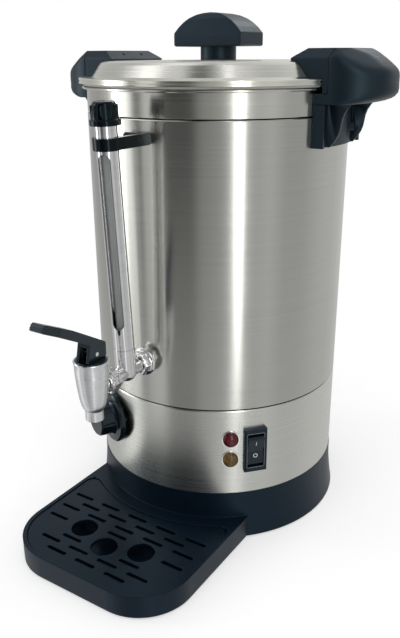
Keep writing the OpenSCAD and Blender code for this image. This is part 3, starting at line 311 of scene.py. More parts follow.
class Finish(Nodes):
    """A material with one shader, under construction"""

    def __init__(self, name, colour, roughness, **sockets):
        self.material = bpy.data.materials.new(name)
        super().__init__(self.material, "ShaderNodeOutputMaterial")
        self.shader = self.add("ShaderNodeBsdfPrincipled")
        self.fill(self.surface, self.shader.outputs["BSDF"])
        self.give("Base Color", colour)
        self.give("Roughness", roughness)
        for label, value in sockets.items():
            self.give(label.replace("_", " "), value)

    def give(self, label, value):
        self.fill(self.shader.inputs[label], value)

    def emboss(self, height, strength, distance, edge=0.0):
        """Bumps the surface, and rounds its edges by a radius where one is given"""
        sockets = {"Height": height, "Strength": strength, "Distance": distance}
        if edge:
            bevel = self.add("ShaderNodeBevel", {"Radius": edge}, samples=BEVEL_SAMPLES)
            sockets["Normal"] = bevel.outputs["Normal"]
        self.give("Normal", self.add("ShaderNodeBump", sockets).outputs["Normal"])

    def brush_round(self):
        """Lets the brushing run round the object's upright axis"""
        tangent = self.add("ShaderNodeTangent", direction_type="RADIAL", axis="Z")
        self.give("Anisotropic Rotation", BRUSH_TURN)
        self.give("Tangent", tangent.outputs["Tangent"])

    def height_band(self, low, high):
        """One where the object's Z, in millimetres, lies between two heights, else zero"""
        z = self.axes(self.place())["Z"]
        return self.math("COMPARE", z, mm((low + high) / 2.0), mm((high - low) / 2.0))


def mm(value):
    """Metres of a value in millimetres"""
    return value / 1000.0


def shade(colour, factor):
    """A colour made lighter or darker"""
    return tuple(min(1.0, c * factor) for c in colour)


def steel_finish(name, colour, roughness, depth, marks, anisotropy, seam_shadow=None):
    """Brushed steel, with fine marks all round and painted shadow along a seam where one is given
    """
    f = Finish(name, colour, roughness, Metallic=1.0, Anisotropic=anisotropy)
    place = f.place()
    fine = f.noise(f.stretch(place, (MARK_DRAW, MARK_DRAW, marks)), detail=4.0, roughness=0.65)
    cloud = f.noise(place, scale=14.0, detail=2.0)
    share = f.spread(fine, 0.0, 1.0, start=0.25, end=0.75)
    tint = f.blend(share, shade(colour, 0.94), shade(colour, 1.03))
    # Painted shadow: a near black band in the colour where two sheets meet
    if seam_shadow:
        tint = f.blend(f.height_band(*seam_shadow), tint, SEAM_SHADOW)
    f.give("Base Color", tint)
    streaks = f.spread(fine, roughness - 0.03, roughness + 0.03)
    f.give("Roughness", f.math("ADD", streaks, f.spread(cloud, -0.015, 0.02)))
    f.emboss(fine, 0.35, depth)
    f.brush_round()
    return f.material


def spun_finish(name, colour, roughness, depth):
    """Metal polished on a lathe: fine rings round the object's axis"""
    f = Finish(name, colour, roughness, Metallic=1.0, Anisotropic=0.5)
    place = f.place()
    axes = f.axes(place)
    flat = f.add("ShaderNodeCombineXYZ", {"X": axes["X"], "Y": axes["Y"]}).outputs[0]
    rings = f.add("ShaderNodeCombineXYZ", {"X": f.length(flat), "Y": axes["Z"]}).outputs[0]
    fine = f.noise(f.stretch(rings, (1300.0, 1300.0, 1.0)), detail=3.0, roughness=0.6)
    cloud = f.noise(place, scale=18.0, detail=2.0)
    share = f.spread(fine, 0.0, 1.0, start=0.25, end=0.75)
    f.give("Base Color", f.blend(share, shade(colour, 0.92), shade(colour, 1.04)))
    streaks = f.spread(fine, roughness - 0.04, roughness + 0.04)
    f.give("Roughness", f.math("ADD", streaks, f.spread(cloud, -0.03, 0.04)))
    f.emboss(fine, 0.5, depth)
    f.brush_round()
    return f.material


def moulded_finish(name, colour, roughness, grain=1500.0, depth=0.00004, coat=0.0, edge=0.0,
                   tint=WHITE):
    """Moulded plastic: fine spark grain, slight cloudiness of colour and sheen"""
    f = Finish(name, colour, roughness, Specular_Tint=tint, Coat_Weight=coat, Coat_Roughness=0.2)
    place = f.place()
    fine = f.noise(place, scale=grain, detail=2.0)
    cloud = f.noise(place, scale=45.0, detail=3.0)
    share = f.spread(cloud, 0.0, 1.0)
    f.give("Base Color", f.blend(share, shade(colour, 0.88), shade(colour, 1.12)))
    sparks = f.spread(fine, roughness - 0.05, roughness + 0.05)
    f.give("Roughness", f.math("ADD", sparks, f.spread(cloud, -0.03, 0.03)))
    f.emboss(fine, 0.5, depth, edge)
    return f.material


def plated_finish(name, colour, roughness, ripple=0.0, size=350.0, wipe=1.0):
    """Bright plating, with faint wipe marks and, for cast pieces, a ripple"""
    f = Finish(name, colour, roughness, Metallic=1.0)
    place = f.place()
    wipes = f.noise(f.stretch(place, (60.0, 60.0, 160.0)), detail=4.0)
    smoothest, roughest = roughness * (1.0 - 0.3 * wipe), roughness * (1.0 + 0.5 * wipe)
    f.give("Roughness", f.spread(wipes, smoothest, roughest))
    share = f.spread(wipes, 0.0, 1.0)
    f.give("Base Color", f.blend(share, shade(colour, 0.95), shade(colour, 1.03)))
    if ripple:
        f.emboss(f.noise(place, scale=size, detail=1.0), 0.8, ripple)
    return f.material


def lens_finish(name, colour):
    """Tinted clear plastic over a lamp, with a faceted inside"""
    f = Finish(name, colour, 0.25, Coat_Weight=0.25, Coat_Roughness=0.05, IOR=1.4,
               Transmission_Weight=0.25)
    cells = f.add("ShaderNodeTexVoronoi", {"Vector": f.place(), "Scale": 420.0})
    facets = cells.outputs["Distance"]
    share = f.spread(facets, 0.0, 1.0, start=0.1, end=0.8)
    f.give("Base Color", f.blend(share, shade(colour, 1.5), shade(colour, 0.55)))
    f.emboss(facets, 0.3, 0.0003)
    return f.material


def clear_finish(name, colour, roughness):
    """Clear glass with faint water marks"""
    f = Finish(name, colour, roughness, IOR=1.47, Transmission_Weight=0.6)
    marks = f.noise(f.stretch(f.place(), (90.0, 90.0, 25.0)), detail=3.0)
    f.give("Roughness", f.spread(marks, roughness, roughness + 0.08, start=0.5, end=0.8))
    return f.material


def makers():
    """What makes each finish, from the scene's settings"""
    steel = bpy.context.scene.urn_steel
    plastic = bpy.context.scene.urn_plastic
    jacket, polished = tuple(steel.jacket_colour), tuple(steel.polished_colour)
    brushed, brush_depth = steel.jacket_roughness, steel.brush_depth
    dark, sheen = tuple(plastic.colour), plastic.roughness
    soft, crisp = plastic.edge_radius, plastic.edge_radius / 2
    tray = tuple(c * share for c, share in zip(dark, TRAY_CAST))
    return {
        "Jacket steel": lambda n: steel_finish(
            n, jacket, brushed, brush_depth, JACKET_MARKS, 0.8, JACKET_SEAM_SHADOW),
        "Base steel": lambda n: steel_finish(
            n, shade(jacket, 1.24), brushed + 0.06, brush_depth / 2, JACKET_MARKS, 0.55),
        "Neck steel": lambda n: steel_finish(
            n, polished, 0.20, FAINT, NECK_MARKS, 0.6, NECK_SEAM_SHADOW),
        # Painted light: the lid has the neck's polished colour made 1.36 times lighter
        "Lid steel painted lighter": lambda n: spun_finish(n, shade(polished, 1.36), 0.22, FAINT),
        "Dark plastic": lambda n: moulded_finish(n, dark, sheen, edge=soft, tint=PLASTIC_SHEEN),
        "Tray plastic": lambda n: moulded_finish(
            n, tray, sheen - 0.04, 1300.0, edge=crisp, tint=TRAY_SHEEN),
        "Gloss plastic": lambda n: moulded_finish(
            n, shade(dark, 0.6), 0.22, 900.0, FAINT, 0.3, crisp, PLASTIC_SHEEN),
        "Cap plastic": lambda n: moulded_finish(
            n, shade(dark, 0.2), 0.14, 900.0, FAINT, edge=crisp, tint=shade(PLASTIC_SHEEN, 0.5)),
        "Housing plastic": lambda n: moulded_finish(
            n, (0.006, 0.010, 0.017), 0.36, 1300.0, tint=PLASTIC_SHEEN),
        "Grey plastic": lambda n: moulded_finish(n, (0.20, 0.22, 0.24), 0.3, 1200.0, FAINT),
        "Mark paint": lambda n: moulded_finish(n, (0.72, 0.74, 0.76), 0.5, 1500.0, FAINT),
        "Pale plastic": lambda n: moulded_finish(n, (0.74, 0.71, 0.64), 0.55),
        "Rubber": lambda n: moulded_finish(n, (0.03, 0.03, 0.03), 0.75, 700.0, 0.0001),
        "Silicone": lambda n: moulded_finish(n, (0.70, 0.69, 0.65), 0.5, 800.0),
        "Bright plating": lambda n: plated_finish(n, (0.80, 0.80, 0.81), 0.10),
        "Cast plating": lambda n: plated_finish(n, (0.78, 0.78, 0.79), 0.13, 0.0012, 260.0),
        "Satin plating": lambda n: plated_finish(n, (0.76, 0.77, 0.78), 0.24),
        "Tap plating": lambda n: plated_finish(n, (0.88, 0.89, 0.90), 0.27, wipe=0.15),
        "Zinc plating": lambda n: plated_finish(n, (0.62, 0.62, 0.60), 0.32, 0.0002, 900.0),
        "Brass": lambda n: plated_finish(n, (0.72, 0.53, 0.24), 0.28, 0.0002, 700.0),
        "Cast aluminium": lambda n: plated_finish(n, (0.66, 0.66, 0.67), 0.45, 0.0004, 500.0),
        "Sight glass": lambda n: clear_finish(n, (0.60, 0.63, 0.62), 0.02),
        "Red lens": lambda n: lens_finish(n, (0.120, 0.001, 0.008)),
        "Amber lens": lambda n: lens_finish(n, (0.170, 0.098, 0.020)),
    }


MATERIALS = {}


def finish_named(name):
    """Makes each material once"""
    if name not in MATERIALS:
        MATERIALS[name] = makers()[name](name)
    return MATERIALS[name]


# ---- Making pieces ----


def coat(material, *names):
    """Gives CAD nodes a finish"""
    for name in names:
        node = NODES[name]
        node.data.materials.clear()
        node.data.materials.append(finish_named(material))


def wall_frame(azimuth, height, reach):
    """Frame on an upright wall: Z outward, Y up; degrees right of the front, metres"""
    turn = Matrix.Rotation(math.radians(azimuth), 4, "Z")
    out = turn @ Matrix.Translation((0.0, -reach, height))
    return out @ Matrix.Rotation(math.radians(90.0), 4, "X")


def add_piece(name, bm, material, body, place=None):
    """Makes an object of a mesh, in place, smooth where it is curved, and ties it to a body"""
    mesh = bpy.data.meshes.new(name)
    bmesh.ops.recalc_face_normals(bm, faces=bm.faces)
    for face in bm.faces:
        face.smooth = True
    bm.to_mesh(mesh)
    bm.free()
    mesh.set_sharp_from_angle(angle=SHARP)
    piece = bpy.data.objects.new(name, mesh)
    if place is not None:
        piece.matrix_world = place
    bpy.context.scene.collection.objects.link(piece)
    mesh.materials.append(finish_named(material))
    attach(piece, body)
    return piece


def skin(bm, rings, closed=False):
    """Covers a row of rings of points, round to the first one again or with a face at each end"""
    pairs = list(zip(rings, rings[1:]))
    if closed:
        pairs.append((rings[-1], rings[0]))
    for low, high in pairs:
        count = len(low)
        for k in range(count):
            after = (k + 1) % count
            bm.faces.new((low[k], low[after], high[after], high[k]))
    if not closed:
        bm.faces.new(rings[0])
        bm.faces.new(rings[-1])


def sweep(bm, spine, section, closed=True):
    """Carries a section along a spine, which gives (point, across, up) for each place"""
    rings = []
    for point, across, up in spine:
        point, across, up = Vector(point), Vector(across), Vector(up)
        rings.append([bm.verts.new(point + across * a + up * b) for a, b in section])
    skin(bm, rings, closed)


def outward(turn):
    """Direction in the local XY plane, at a turn from X"""
    return (math.cos(turn), math.sin(turn), 0.0)


def round_section(width, height, sides=10):
    """Points of an ellipse"""
    turns = [2.0 * math.pi * k / sides for k in range(sides)]
    return [(width / 2.0 * math.cos(t), height / 2.0 * math.sin(t)) for t in turns]


def ring(bm, radius, width, height, turns=32):
    """A ring round local Z"""
    spine = []
    for i in range(turns):
        out = outward(2.0 * math.pi * i / turns)
        spine.append(((radius * out[0], radius * out[1], 0.0), out, UP))
    sweep(bm, spine, round_section(width, height))


def frame_line(bm, width, height, corner, wire, lift):
    """A thin line round a rectangle with round corners, in the local XY plane"""
    spine = []
    steps = 6
    across, along = width / 2.0 - corner, height / 2.0 - corner
    for sx, sy, start in ((1, 1, 0.0), (-1, 1, 90.0), (-1, -1, 180.0), (1, -1, 270.0)):
        for k in range(steps + 1):
            out = outward(math.radians(start + 90.0 * k / steps))
            point = (sx * across + corner * out[0], sy * along + corner * out[1], lift)
            spine.append((point, out, UP))
    sweep(bm, spine, round_section(wire, wire))


def stroke(bm, points, width, height):
    """A rounded bar along a chain of points in the local XY plane, lying on it"""
    spine = []
    for i, point in enumerate(points):
        before, after = points[max(i - 1, 0)], points[min(i + 1, len(points) - 1)]
        along = Vector((after[0] - before[0], after[1] - before[1], 0.0)).normalized()
        spine.append((point, (along.y, -along.x, 0.0), UP))
    sweep(bm, spine, round_section(width, height), closed=False)


def lathe(bm, section, turns=96):
    """Revolves a closed half section, in millimetres, round local Z"""
    spine = [((0.0, 0.0, 0.0), outward(2.0 * math.pi * i / turns), UP) for i in range(turns)]
    sweep(bm, spine, [(mm(r), mm(z)) for r, z in section])


# ---- Handles ----

# The grip from below upward: its height, how far its nose and its flanks draw in, in millimetres,
# and how square its plan is
GRIP_LEVELS = (
    (368.95, 22.0, 0.05, 3.0), (369.5, 17.0, 0.05, 2.8), (370.6, 12.0, 0.05, 2.6),
    (372.2, 7.0, 0.05, 2.4), (373.8, 3.8, 0.05, 2.25), (376.7, 0.9, 0.05, 2.1),
    (379.5, 0.15, 0.05, 2.0), (384.0, 0.05, 0.05, 2.0), (387.5, 0.05, 0.05, 2.0),
    (389.5, 0.2, 0.05, 2.0), (391.5, 1.1, 0.05, 2.0), (393.5, 2.7, 0.05, 2.0),
    (395.5, 5.0, 0.05, 2.0), (397.8, 7.8, 0.1, 2.0), (400.3, 11.1, 0.2, 2.0),
    (402.0, 13.6, 0.5, 2.0), (403.5, 16.0, 1.5, 2.0), (405.0, 18.4, 3.0, 2.0),
    (406.4, 21.5, 4.4, 2.0), (407.6, 24.8, 5.7, 2.0), (408.2, 27.0, 6.6, 2.0),
    (408.45, 28.5, 7.6, 2.0),
)
# Where the grip starts over the plate and the webs, and where its crown starts, in metres
GRIP_LOW = 0.36898
CROWN_LOW = 0.383
GRIP_CENTRE = 0.1185
# The crown's slanting sides: their turn from the nose, how near they come at the top, how fast
# they spread below it, and how crisp the creases are
SLANT_TURN = math.radians(35.4)
SLANT_TOP = 0.0188
SLANT_SPREAD = 1.13
CREASE = 24.0
# Steps along each shoulder, round the nose and along the recess
SHOULDER_STEPS = 6
NOSE_STEPS = 40
RECESS_STEPS = 24
HALF_TURN = Matrix.Rotation(math.pi, 3, "Z")


def grip_ring(bm, height, nose, flank, power, recess):
    """One level of the grip: round its nose from flank to flank, then back along its recess"""
    half = HANDLE_HALF - mm(flank)
    back = math.sqrt(recess ** 2 - half ** 2)
    centre = max(GRIP_CENTRE, back + SKIN)
    reach = HANDLE_OUT - mm(nose) - centre
    slant = SLANT_TOP + SLANT_SPREAD * (HANDLE_TOP - mm(height))
    crown = mm(height) > CROWN_LOW
    length = HANDLE_HALF if crown else reach
    shoulder = [(centre - back) * k / SHOULDER_STEPS for k in range(SHOULDER_STEPS)]
    points = [(back + x, -half) for x in shoulder]
    for k in range(NOSE_STEPS + 1):
        t = math.pi * k / NOSE_STEPS - math.pi / 2.0
        ahead, aside = abs(math.cos(t)), abs(math.sin(t))
        plan = ((ahead / length) ** power + (aside / half) ** power) ** (1.0 / power)
        if crown:
            lean = (ahead * math.cos(SLANT_TURN) + aside * math.sin(SLANT_TURN)) / slant
            plan = (plan ** CREASE + (ahead / reach) ** CREASE + lean ** CREASE) ** (1.0 / CREASE)
        points.append((centre + math.cos(t) / plan, math.sin(t) / plan))
    points += [(back + x, half) for x in reversed(shoulder)]
    limit = math.asin(half / recess)
    for k in range(1, RECESS_STEPS):
        t = limit * (1.0 - 2.0 * k / RECESS_STEPS)
        points.append((recess * math.cos(t), recess * math.sin(t)))
    return [bm.verts.new((x, y, mm(height))) for x, y in points]


def add_handle(name, node, turned):
    """The moulded handle: plate and webs as the solid has them, and a grip with soft shoulders"""
    bm = bmesh.new()
    bm.from_mesh(NODES[node].data)
    if turned:
        bmesh.ops.rotate(bm, verts=bm.verts, matrix=HALF_TURN)
    everything = bm.verts[:] + bm.edges[:] + bm.faces[:]
    bmesh.ops.bisect_plane(bm, geom=everything, dist=WELD, plane_co=(0.0, 0.0, GRIP_LOW),
                           plane_no=UP, clear_outer=True)
    rings = []
    for height, nose, flank, power in GRIP_LEVELS:
        # Below the step the grip reaches to the jacket, and above it to the recess
        if mm(height) < HANDLE_STEP + TOUCH:
            rings.append(grip_ring(bm, height, nose, flank, power, JACKET_R + SKIN))
        if mm(height) > HANDLE_STEP - TOUCH:
            rings.append(grip_ring(bm, height, nose, flank, power, HANDLE_RECESS))
    skin(bm, rings)
    bmesh.ops.remove_doubles(bm, verts=bm.verts, dist=WELD)
    if turned:
        bmesh.ops.rotate(bm, verts=bm.verts, matrix=HALF_TURN)
    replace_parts(add_piece(name, bm, "Dark plastic", "urn"), node)


# ---- Tap ----

# Half sections in millimetres, radius then height: the tap's body with its bores, and its stub
TAP_SECTION = (
    (4.9, 141.0), (6.6, 141.0), (7.05, 141.5), (7.1, 149.0), (7.4, 150.0), (8.0, 150.9),
    (8.85, 152.4), (9.6, 154.6), (10.3, 157.6), (10.95, 161.2), (11.5, 165.0), (12.0, 169.2),
    (12.4, 173.4), (12.75, 177.6), (12.9, 179.8), (12.9, 180.0), (12.65, 180.1), (12.65, 180.45),
    (12.95, 180.55), (13.1, 185.5), (13.25, 188.0), (13.75, 189.8), (13.8, 190.6), (13.6, 191.0),
    (12.5, 191.0), (12.4, 186.0), (8.0, 186.0), (8.0, 161.4), (4.9, 158.0),
)
STUB_SECTION = ((4.3, 7.5), (5.9, 7.5), (5.9, 14.5), (4.3, 14.5))
# The flange on the jacket: a disc that stands off on a narrow washer, with rounded rims
FLANGE_SECTION = (
    (6.8, 0.0), (7.6, 0.0), (7.7, 4.2), (10.6, 4.6), (11.6, 5.0), (11.9, 5.6), (11.9, 6.6),
    (11.5, 7.3), (10.9, 7.7), (10.3, 7.9), (9.6, 8.6), (6.8, 8.6),
)
NUT_SECTION = ((7.82, 8.5), (9.8, 8.5), (10.39, 9.1), (10.39, 14.0), (9.8, 14.6), (7.82, 14.6))
# The spring: its coils, the steps of each, its radius and wire in metres, and how far its ends
# close up
SPRING_COILS = 6
COIL_STEPS = 24
SPRING_R = 0.0039
SPRING_WIRE = 0.001
SPRING_CLOSE = 0.09


def add_tap_body():
    """The tap's tapered body with its rim band and spout, and the stub towards its nut"""
    bm = bmesh.new()
    lathe(bm, TAP_SECTION)
    place = Matrix.Translation((0.0, TAP_Y, 0.0))
    body = add_piece("tapered_tap_body", bm, "Tap plating", "urn", place)
    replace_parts(body, "tap_body")
    bm = bmesh.new()
    lathe(bm, STUB_SECTION, turns=48)
    place = Matrix.Translation((0.0, TAP_Y, TAP_Z)) @ Matrix.Rotation(math.radians(-90.0), 4, "X")
    add_piece("tap_body_stub", bm, "Cast plating", "urn", place)


def add_spring():
    """The tap's return spring with its closed ends, on a mesh of its own"""
    bm = bmesh.new()
    spine = []
    steps = SPRING_COILS * COIL_STEPS
    for i in range(steps + 1):
        share = i / steps
        rise = share - SPRING_CLOSE * math.sin(2.0 * math.pi * share)
        lift = SPRING_LOW + (SPRING_HIGH - SPRING_LOW) * rise
        out = outward(2.0 * math.pi * i / COIL_STEPS)
        spine.append(((SPRING_R * out[0], SPRING_R * out[1], lift), out, UP))
    sweep(bm, spine, round_section(SPRING_WIRE, SPRING_WIRE), closed=False)
    place = Matrix.Translation((0.0, TAP_Y, 0.0))
    spring = add_piece("coiled_tap_spring", bm, "Zinc plating", "urn", place)
    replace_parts(spring, "tap_spring")
    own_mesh(spring)


def add_flange():
    """The flange where the tap's shank leaves the jacket, with its nut's six sides"""
    bm = bmesh.new()
    lathe(bm, FLANGE_SECTION)
    lathe(bm, NUT_SECTION, turns=6)
    place = wall_frame(0.0, TAP_Z, JACKET_R + SKIN)
    flange = add_piece("turned_shank_flange", bm, "Cast plating", "urn", place)
    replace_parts(flange, "shank_flange")


# ---- Switch ----

# The line round the switch's window: width, height, corner, thickness and stand-off, in metres
WINDOW_LINE = (0.0155, 0.0325, 0.0015, 0.0005, 0.00345)
# The rocker: its pivot's depth, how it tips at rest, the slope of its two faces, and how far
# they lie from the pivot
ROCKER_DEPTH = -0.004
ROCKER_REST = math.radians(7.0)
ROCKER_SLOPE = math.atan2(1.8, 15.0)
ROCKER_REACH = 0.00664
# The marks in metres: the ring's radius and place, the bar's points, and their line's width and
# height
OFF_RADIUS = 0.0017
OFF_PLACE = (0.0, -0.0045, 0.0)
ON_POINTS = ((0.0, 0.0062, 0.0), (0.0, 0.0080, 0.0), (0.0, 0.0100, 0.0))
MARK_LINE = (0.0007, 0.00016)


def add_switch_marks():
    """The line round the switch's window, and the plain on and off marks of its rocker"""
    low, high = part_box("switch_housing")
    face = wall_frame(SWITCH_TURN, (low[2] + high[2]) / 2.0, JACKET_R)
    bm = bmesh.new()
    frame_line(bm, *WINDOW_LINE)
    add_piece("switch_window_line", bm, "Grey plastic", "urn", face)
    pivot = face @ Matrix.Translation((0.0, 0.0, ROCKER_DEPTH))
    pivot = pivot @ Matrix.Rotation(ROCKER_REST, 4, "X")
    top = pivot @ Matrix.Translation((0.0, 0.0, ROCKER_REACH))
    lower = top @ Matrix.Rotation(-ROCKER_SLOPE, 4, "X")
    upper = top @ Matrix.Rotation(ROCKER_SLOPE, 4, "X")
    bm = bmesh.new()
    ring(bm, OFF_RADIUS, *MARK_LINE)
    bmesh.ops.translate(bm, verts=bm.verts, vec=OFF_PLACE)
    add_piece("rocker_off_mark", bm, "Mark paint", "rocker", lower)
    bm = bmesh.new()
    stroke(bm, ON_POINTS, *MARK_LINE)
    add_piece("rocker_on_mark", bm, "Mark paint", "rocker", upper)


# ---- Stage ----

FLOOR_R = 0.95
FLOOR_GREY = (0.60, 0.60, 0.60)
FLOOR_GLOW = 0.50
# Distances from the urn between which the floor turns white, in metres
FLOOR_FADE = (0.30, 0.75)
SENSOR_WIDTH = 36.0
CAMERA_SHIFT = -0.00216
# Brightness of the room by direction, as metal sees it: degrees right of the front, grey level
ROOM = (
    (-180.0, 0.66), (-150.0, 0.60), (-110.0, 0.42), (-90.0, 0.40), (-75.0, 0.55), (-62.0, 1.45),
    (-51.0, 1.45), (-44.0, 0.20), (-39.0, 0.12), (-34.0, 0.60), (-20.0, 0.80), (-14.0, 0.05),
    (9.0, 0.05), (17.0, 0.25), (26.0, 0.30), (36.0, 0.38), (42.0, 0.60), (45.0, 1.70),
    (50.5, 1.70), (54.0, 0.60), (64.0, 0.50), (77.0, 0.60), (92.0, 0.43), (110.0, 0.44),
    (135.0, 0.60), (180.0, 0.66),
)
# The level that the ramp's white stands for, the ground's own level, the share of it that is
# mixed in, and the downward slopes between which that share sets in
ROOM_TOP = 2.0
GROUND = 0.55
GROUND_SHARE = 0.6
GROUND_SLOPES = (-0.454, -0.10)
# The strip light on the right is weaker than the one on the left
RIGHT_SHARE = 0.7


def floor_finish():
    """Pale to the camera with the urn's shadow on it, and white away from the urn"""
    material = bpy.data.materials.new("Pale floor")
    n = Nodes(material, "ShaderNodeOutputMaterial")
    camera = n.add("ShaderNodeLightPath").outputs["Is Camera Ray"]
    paint = n.add("ShaderNodeBsdfDiffuse", {"Color": FLOOR_GREY}).outputs[0]
    lift = n.glow("ShaderNodeEmission", n.math("MULTIPLY", camera, FLOOR_GLOW))
    near = n.add("ShaderNodeAddShader", {0: paint, 1: lift}).outputs[0]
    far = n.spread(n.length(n.place()), 0.0, 1.0, *FLOOR_FADE, interpolation_type="SMOOTHSTEP")
    white = n.glow("ShaderNodeEmission", 1.0)
    n.fill(n.surface, n.choose(n.math("MULTIPLY", far, camera), near, white))
    return material


def add_floor():
    """The round floor, which metal doesn't mirror: the room's own ground stands for it there"""
    bm = bmesh.new()
    bmesh.ops.create_circle(bm, cap_ends=True, segments=96, radius=FLOOR_R)
    mesh = bpy.data.meshes.new("floor")
    bm.to_mesh(mesh)
    bm.free()
    floor = bpy.data.objects.new("floor", mesh)
    bpy.context.scene.collection.objects.link(floor)
    mesh.materials.append(floor_finish())
    floor.visible_glossy = False


def add_camera(settings):
    """The camera, where the picture was taken from"""
    data = bpy.data.cameras.new("camera")
    data.sensor_width = SENSOR_WIDTH
    data.lens = settings.camera_lens
    data.shift_x = CAMERA_SHIFT
    data.clip_start, data.clip_end = 0.01, 50.0
    camera = bpy.data.objects.new("camera", data)
    camera.location = settings.camera_place
    camera.rotation_euler = settings.camera_turn
    bpy.context.scene.collection.objects.link(camera)
    bpy.context.scene.camera = camera


def add_room(settings):
    """The world: white to the camera and through glass, a room to metal, even light to the rest"""
    world = bpy.data.worlds.new("room")
    bpy.context.scene.world = world
    n = Nodes(world, "ShaderNodeOutputWorld")
    axes = n.axes(n.add("ShaderNodeTexCoord").outputs["Generated"])
    turn = n.math("ARCTAN2", axes["X"], n.math("MULTIPLY", axes["Y"], -1.0))
    ramp = n.add("ShaderNodeValToRGB", {"Fac": n.spread(turn, 0.0, 1.0, -math.pi, math.pi)})
    stops = ramp.color_ramp.elements
    while len(stops) > 1:
        stops.remove(stops[0])
    for index, (degrees, level) in enumerate(ROOM):
        spot = (degrees + 180.0) / 360.0
        stop = stops[0] if index == 0 else stops.new(spot)
        stop.position = spot
        stop.color = (*[level / ROOM_TOP] * 3, 1.0)
    down = n.spread(axes["Z"], GROUND_SHARE, 0.0, *GROUND_SLOPES)
    colour = n.blend(down, ramp.outputs["Color"], [GROUND / ROOM_TOP] * 3)
    path = n.add("ShaderNodeLightPath").outputs
    fill = n.glow("ShaderNodeBackground", settings.fill_strength)
    room = n.glow("ShaderNodeBackground", ROOM_TOP, colour)
    white = n.glow("ShaderNodeBackground", 1.0)
    seen = n.math("MAXIMUM", path["Is Camera Ray"], path["Is Transmission Ray"])
    unseen = n.choose(path["Is Glossy Ray"], fill, room)
    n.fill(n.surface, n.choose(seen, unseen, white))


def add_lamp(name, azimuth, distance, height, size, power, aim):
    """A soft panel at an angle right of the front, turned to a height on the urn's axis"""
    data = bpy.data.lights.new(name, "AREA")
    data.shape = "RECTANGLE"
    data.size, data.size_y = size
    data.energy = power
    lamp = bpy.data.objects.new(name, data)
    angle = math.radians(azimuth)
    lamp.location = (distance * math.sin(angle), -distance * math.cos(angle), height)
    sight = Vector((0.0, 0.0, aim)) - lamp.location
    lamp.rotation_euler = sight.to_track_quat("-Z", "Y").to_euler()
    lamp.visible_camera = False
    bpy.context.scene.collection.objects.link(lamp)
    return lamp


def add_lights(settings):
    """One soft light overhead, one behind and a tall one on either side"""
    top = add_lamp("top_light", azimuth=20.0, distance=0.35, height=1.7, size=(1.3, 1.3),
                   power=settings.top_power, aim=0.2)
    top.visible_glossy = False
    add_lamp("back_light", azimuth=178.0, distance=1.7, height=1.75, size=(0.7, 0.5),
             power=settings.back_power, aim=0.39)
    add_lamp("strip_right", azimuth=49.0, distance=1.5, height=0.5, size=(0.16, 1.8),
             power=settings.strip_power * RIGHT_SHARE, aim=0.3)
    add_lamp("strip_left", azimuth=-60.0, distance=1.5, height=0.5, size=(0.26, 1.8),
             power=settings.strip_power, aim=0.3)


# ---- Operators ----


class URN_OT_jacket(bpy.types.Operator):
    """Finish the jacket and the base shell"""

    bl_idname = "urn.jacket"
    bl_label = "Jacket and base shell"

    def execute(self, context):
        coat("Jacket steel", "outer_jacket")
        coat("Base steel", "base_shell")
        return {"FINISHED"}


class URN_OT_tank(bpy.types.Operator):
    """Finish the tank with its neck and rolled rim"""

    bl_idname = "urn.tank"
    bl_label = "Tank"

    def execute(self, context):
        coat("Neck steel", "tank")
        return {"FINISHED"}


class URN_OT_lid(bpy.types.Operator):
    """Finish the lid, its ears, its knob and its gasket"""

    bl_idname = "urn.lid"
    bl_label = "Lid"

    def execute(self, context):
        coat("Lid steel painted lighter", "lid_shell")
        coat("Dark plastic", "lid_ear_left", "lid_ear_right", "lid_knob")
        coat("Silicone", "lid_gasket")
        coat("Zinc plating", "ear_screws", "knob_screw")
        return {"FINISHED"}


class URN_OT_handles(bpy.types.Operator):
    """Finish the side handles and add their moulded shapes"""

    bl_idname = "urn.handles"
    bl_label = "Side handles"

    def execute(self, context):
        coat("Dark plastic", "handle_left", "handle_right")
        coat("Zinc plating", "handle_screws")
        add_handle("moulded_handle_right", "handle_right", False)
        add_handle("moulded_handle_left", "handle_left", True)
        return {"FINISHED"}


class URN_OT_base(bpy.types.Operator):
    """Finish the base ring, the drip grid and the underside"""

    bl_idname = "urn.base"
    bl_label = "Base and drip tray"

    def execute(self, context):
        coat("Tray plastic", "base_ring", "drip_grid")
        coat("Rubber", "rubber_feet")
        coat("Zinc plating", "bottom_plate", "bottom_screws", "ring_screws")
        return {"FINISHED"}


class URN_OT_tap(bpy.types.Operator):
    """Finish the tap, its shank and its lever, and add its body, flange and spring"""

    bl_idname = "urn.tap"
    bl_label = "Tap"

    def execute(self, context):
        coat("Tap plating", "tap_body")
        coat("Bright plating", "tap_shank", "lever_pin")
        coat("Cast plating", "shank_flange", "union_nut")
        coat("Gloss plastic", "tap_bonnet", "tap_lever")
        coat("Zinc plating", "tap_stem", "tap_spring", "shank_nut")
        coat("Silicone", "seat_cup", "shank_washers")
        add_tap_body()
        add_flange()
        add_spring()
        return {"FINISHED"}


class URN_OT_sight_tube(bpy.types.Operator):
    """Finish the sight tube, its cap and its clip"""

    bl_idname = "urn.sight_tube"
    bl_label = "Sight tube"

    def execute(self, context):
        coat("Bright plating", "guard_tube")
        coat("Sight glass", "sight_glass")
        coat("Silicone", "sight_seals")
        coat("Cap plastic", "sight_cap", "sight_clip")
        coat("Zinc plating", "clip_screw")
        return {"FINISHED"}


class URN_OT_controls(bpy.types.Operator):
    """Finish the thermostat knob, the lamps and the switch, and mark the switch"""

    bl_idname = "urn.controls"
    bl_label = "Controls"

    def execute(self, context):
        coat("Gloss plastic", "thermostat_knob", "switch_rocker")
        coat("Housing plastic", "switch_housing")
        coat("Red lens", "red_lens")
        coat("Amber lens", "amber_lens")
        coat("Bright plating", "lamp_holders")
        coat("Zinc plating", "thermostat_shaft", "thermostat_screws")
        add_switch_marks()
        return {"FINISHED"}


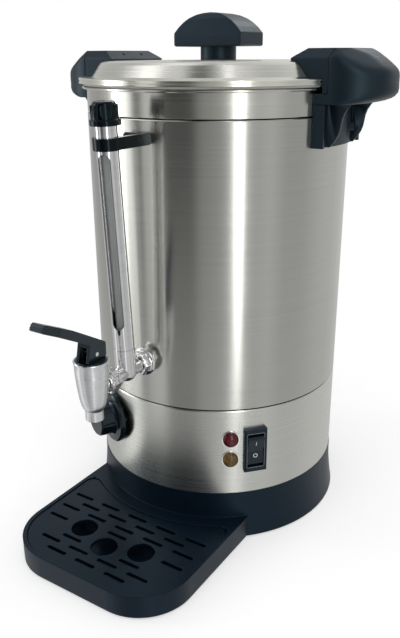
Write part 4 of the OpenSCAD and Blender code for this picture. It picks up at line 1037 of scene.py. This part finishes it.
class URN_OT_inner_parts(bpy.types.Operator):
    """Finish the heater, the thermostat and the power inlet"""

    bl_idname = "urn.inner_parts"
    bl_label = "Inner parts"

    def execute(self, context):
        coat("Cast aluminium", "heater_plate")
        coat("Satin plating", "heating_element", "keep_warm_element")
        coat("Housing plastic", "thermal_cutout", "power_inlet")
        coat("Pale plastic", "thermostat", "terminal_block")
        coat("Brass", "thermostat_bulb", "inlet_pins")
        coat("Zinc plating", "inlet_screws", "tank_nuts")
        return {"FINISHED"}


class URN_OT_stage(bpy.types.Operator):
    """Add the floor, the camera and the studio light"""

    bl_idname = "urn.stage"
    bl_label = "Stage"

    def execute(self, context):
        settings = context.scene.urn_stage
        add_floor()
        add_camera(settings)
        add_room(settings)
        add_lights(settings)
        context.scene.view_settings.view_transform = "Standard"
        return {"FINISHED"}


# ---- Panel and registration ----

STEPS = (
    URN_OT_jacket,
    URN_OT_tank,
    URN_OT_lid,
    URN_OT_handles,
    URN_OT_base,
    URN_OT_tap,
    URN_OT_sight_tube,
    URN_OT_controls,
    URN_OT_inner_parts,
    URN_OT_stage,
)

SETTINGS = (
    ("urn_steel", UrnSteelSettings),
    ("urn_plastic", UrnPlasticSettings),
    ("urn_stage", UrnStageSettings),
)


class URN_PT_panel(bpy.types.Panel):
    """Lists the urn's pieces and settings"""

    bl_idname = "URN_PT_panel"
    bl_label = "Hot Water Urn"
    bl_space_type = "VIEW_3D"
    bl_region_type = "UI"
    bl_category = "Urn"

    def draw(self, context):
        layout = self.layout
        for name, group in SETTINGS:
            column = layout.column()
            for label in group.__annotations__:
                column.prop(getattr(context.scene, name), label)
        for step in STEPS:
            layout.operator(step.bl_idname)


def register():
    """Registers the settings, the operators and the panel"""
    for name, group in SETTINGS:
        bpy.utils.register_class(group)
        setattr(bpy.types.Scene, name, PointerProperty(type=group))
    for step in STEPS:
        bpy.utils.register_class(step)
    bpy.utils.register_class(URN_PT_panel)


def unregister():
    """Takes out what register put in"""
    bpy.utils.unregister_class(URN_PT_panel)
    for step in reversed(STEPS):
        bpy.utils.unregister_class(step)
    for name, group in reversed(SETTINGS):
        delattr(bpy.types.Scene, name)
        bpy.utils.unregister_class(group)


def main():
    """Builds the urn step by step"""
    register()
    for step in STEPS:
        group, action = step.bl_idname.split(".")
        getattr(getattr(bpy.ops, group), action)()


if __name__ == "__main__":
    main()
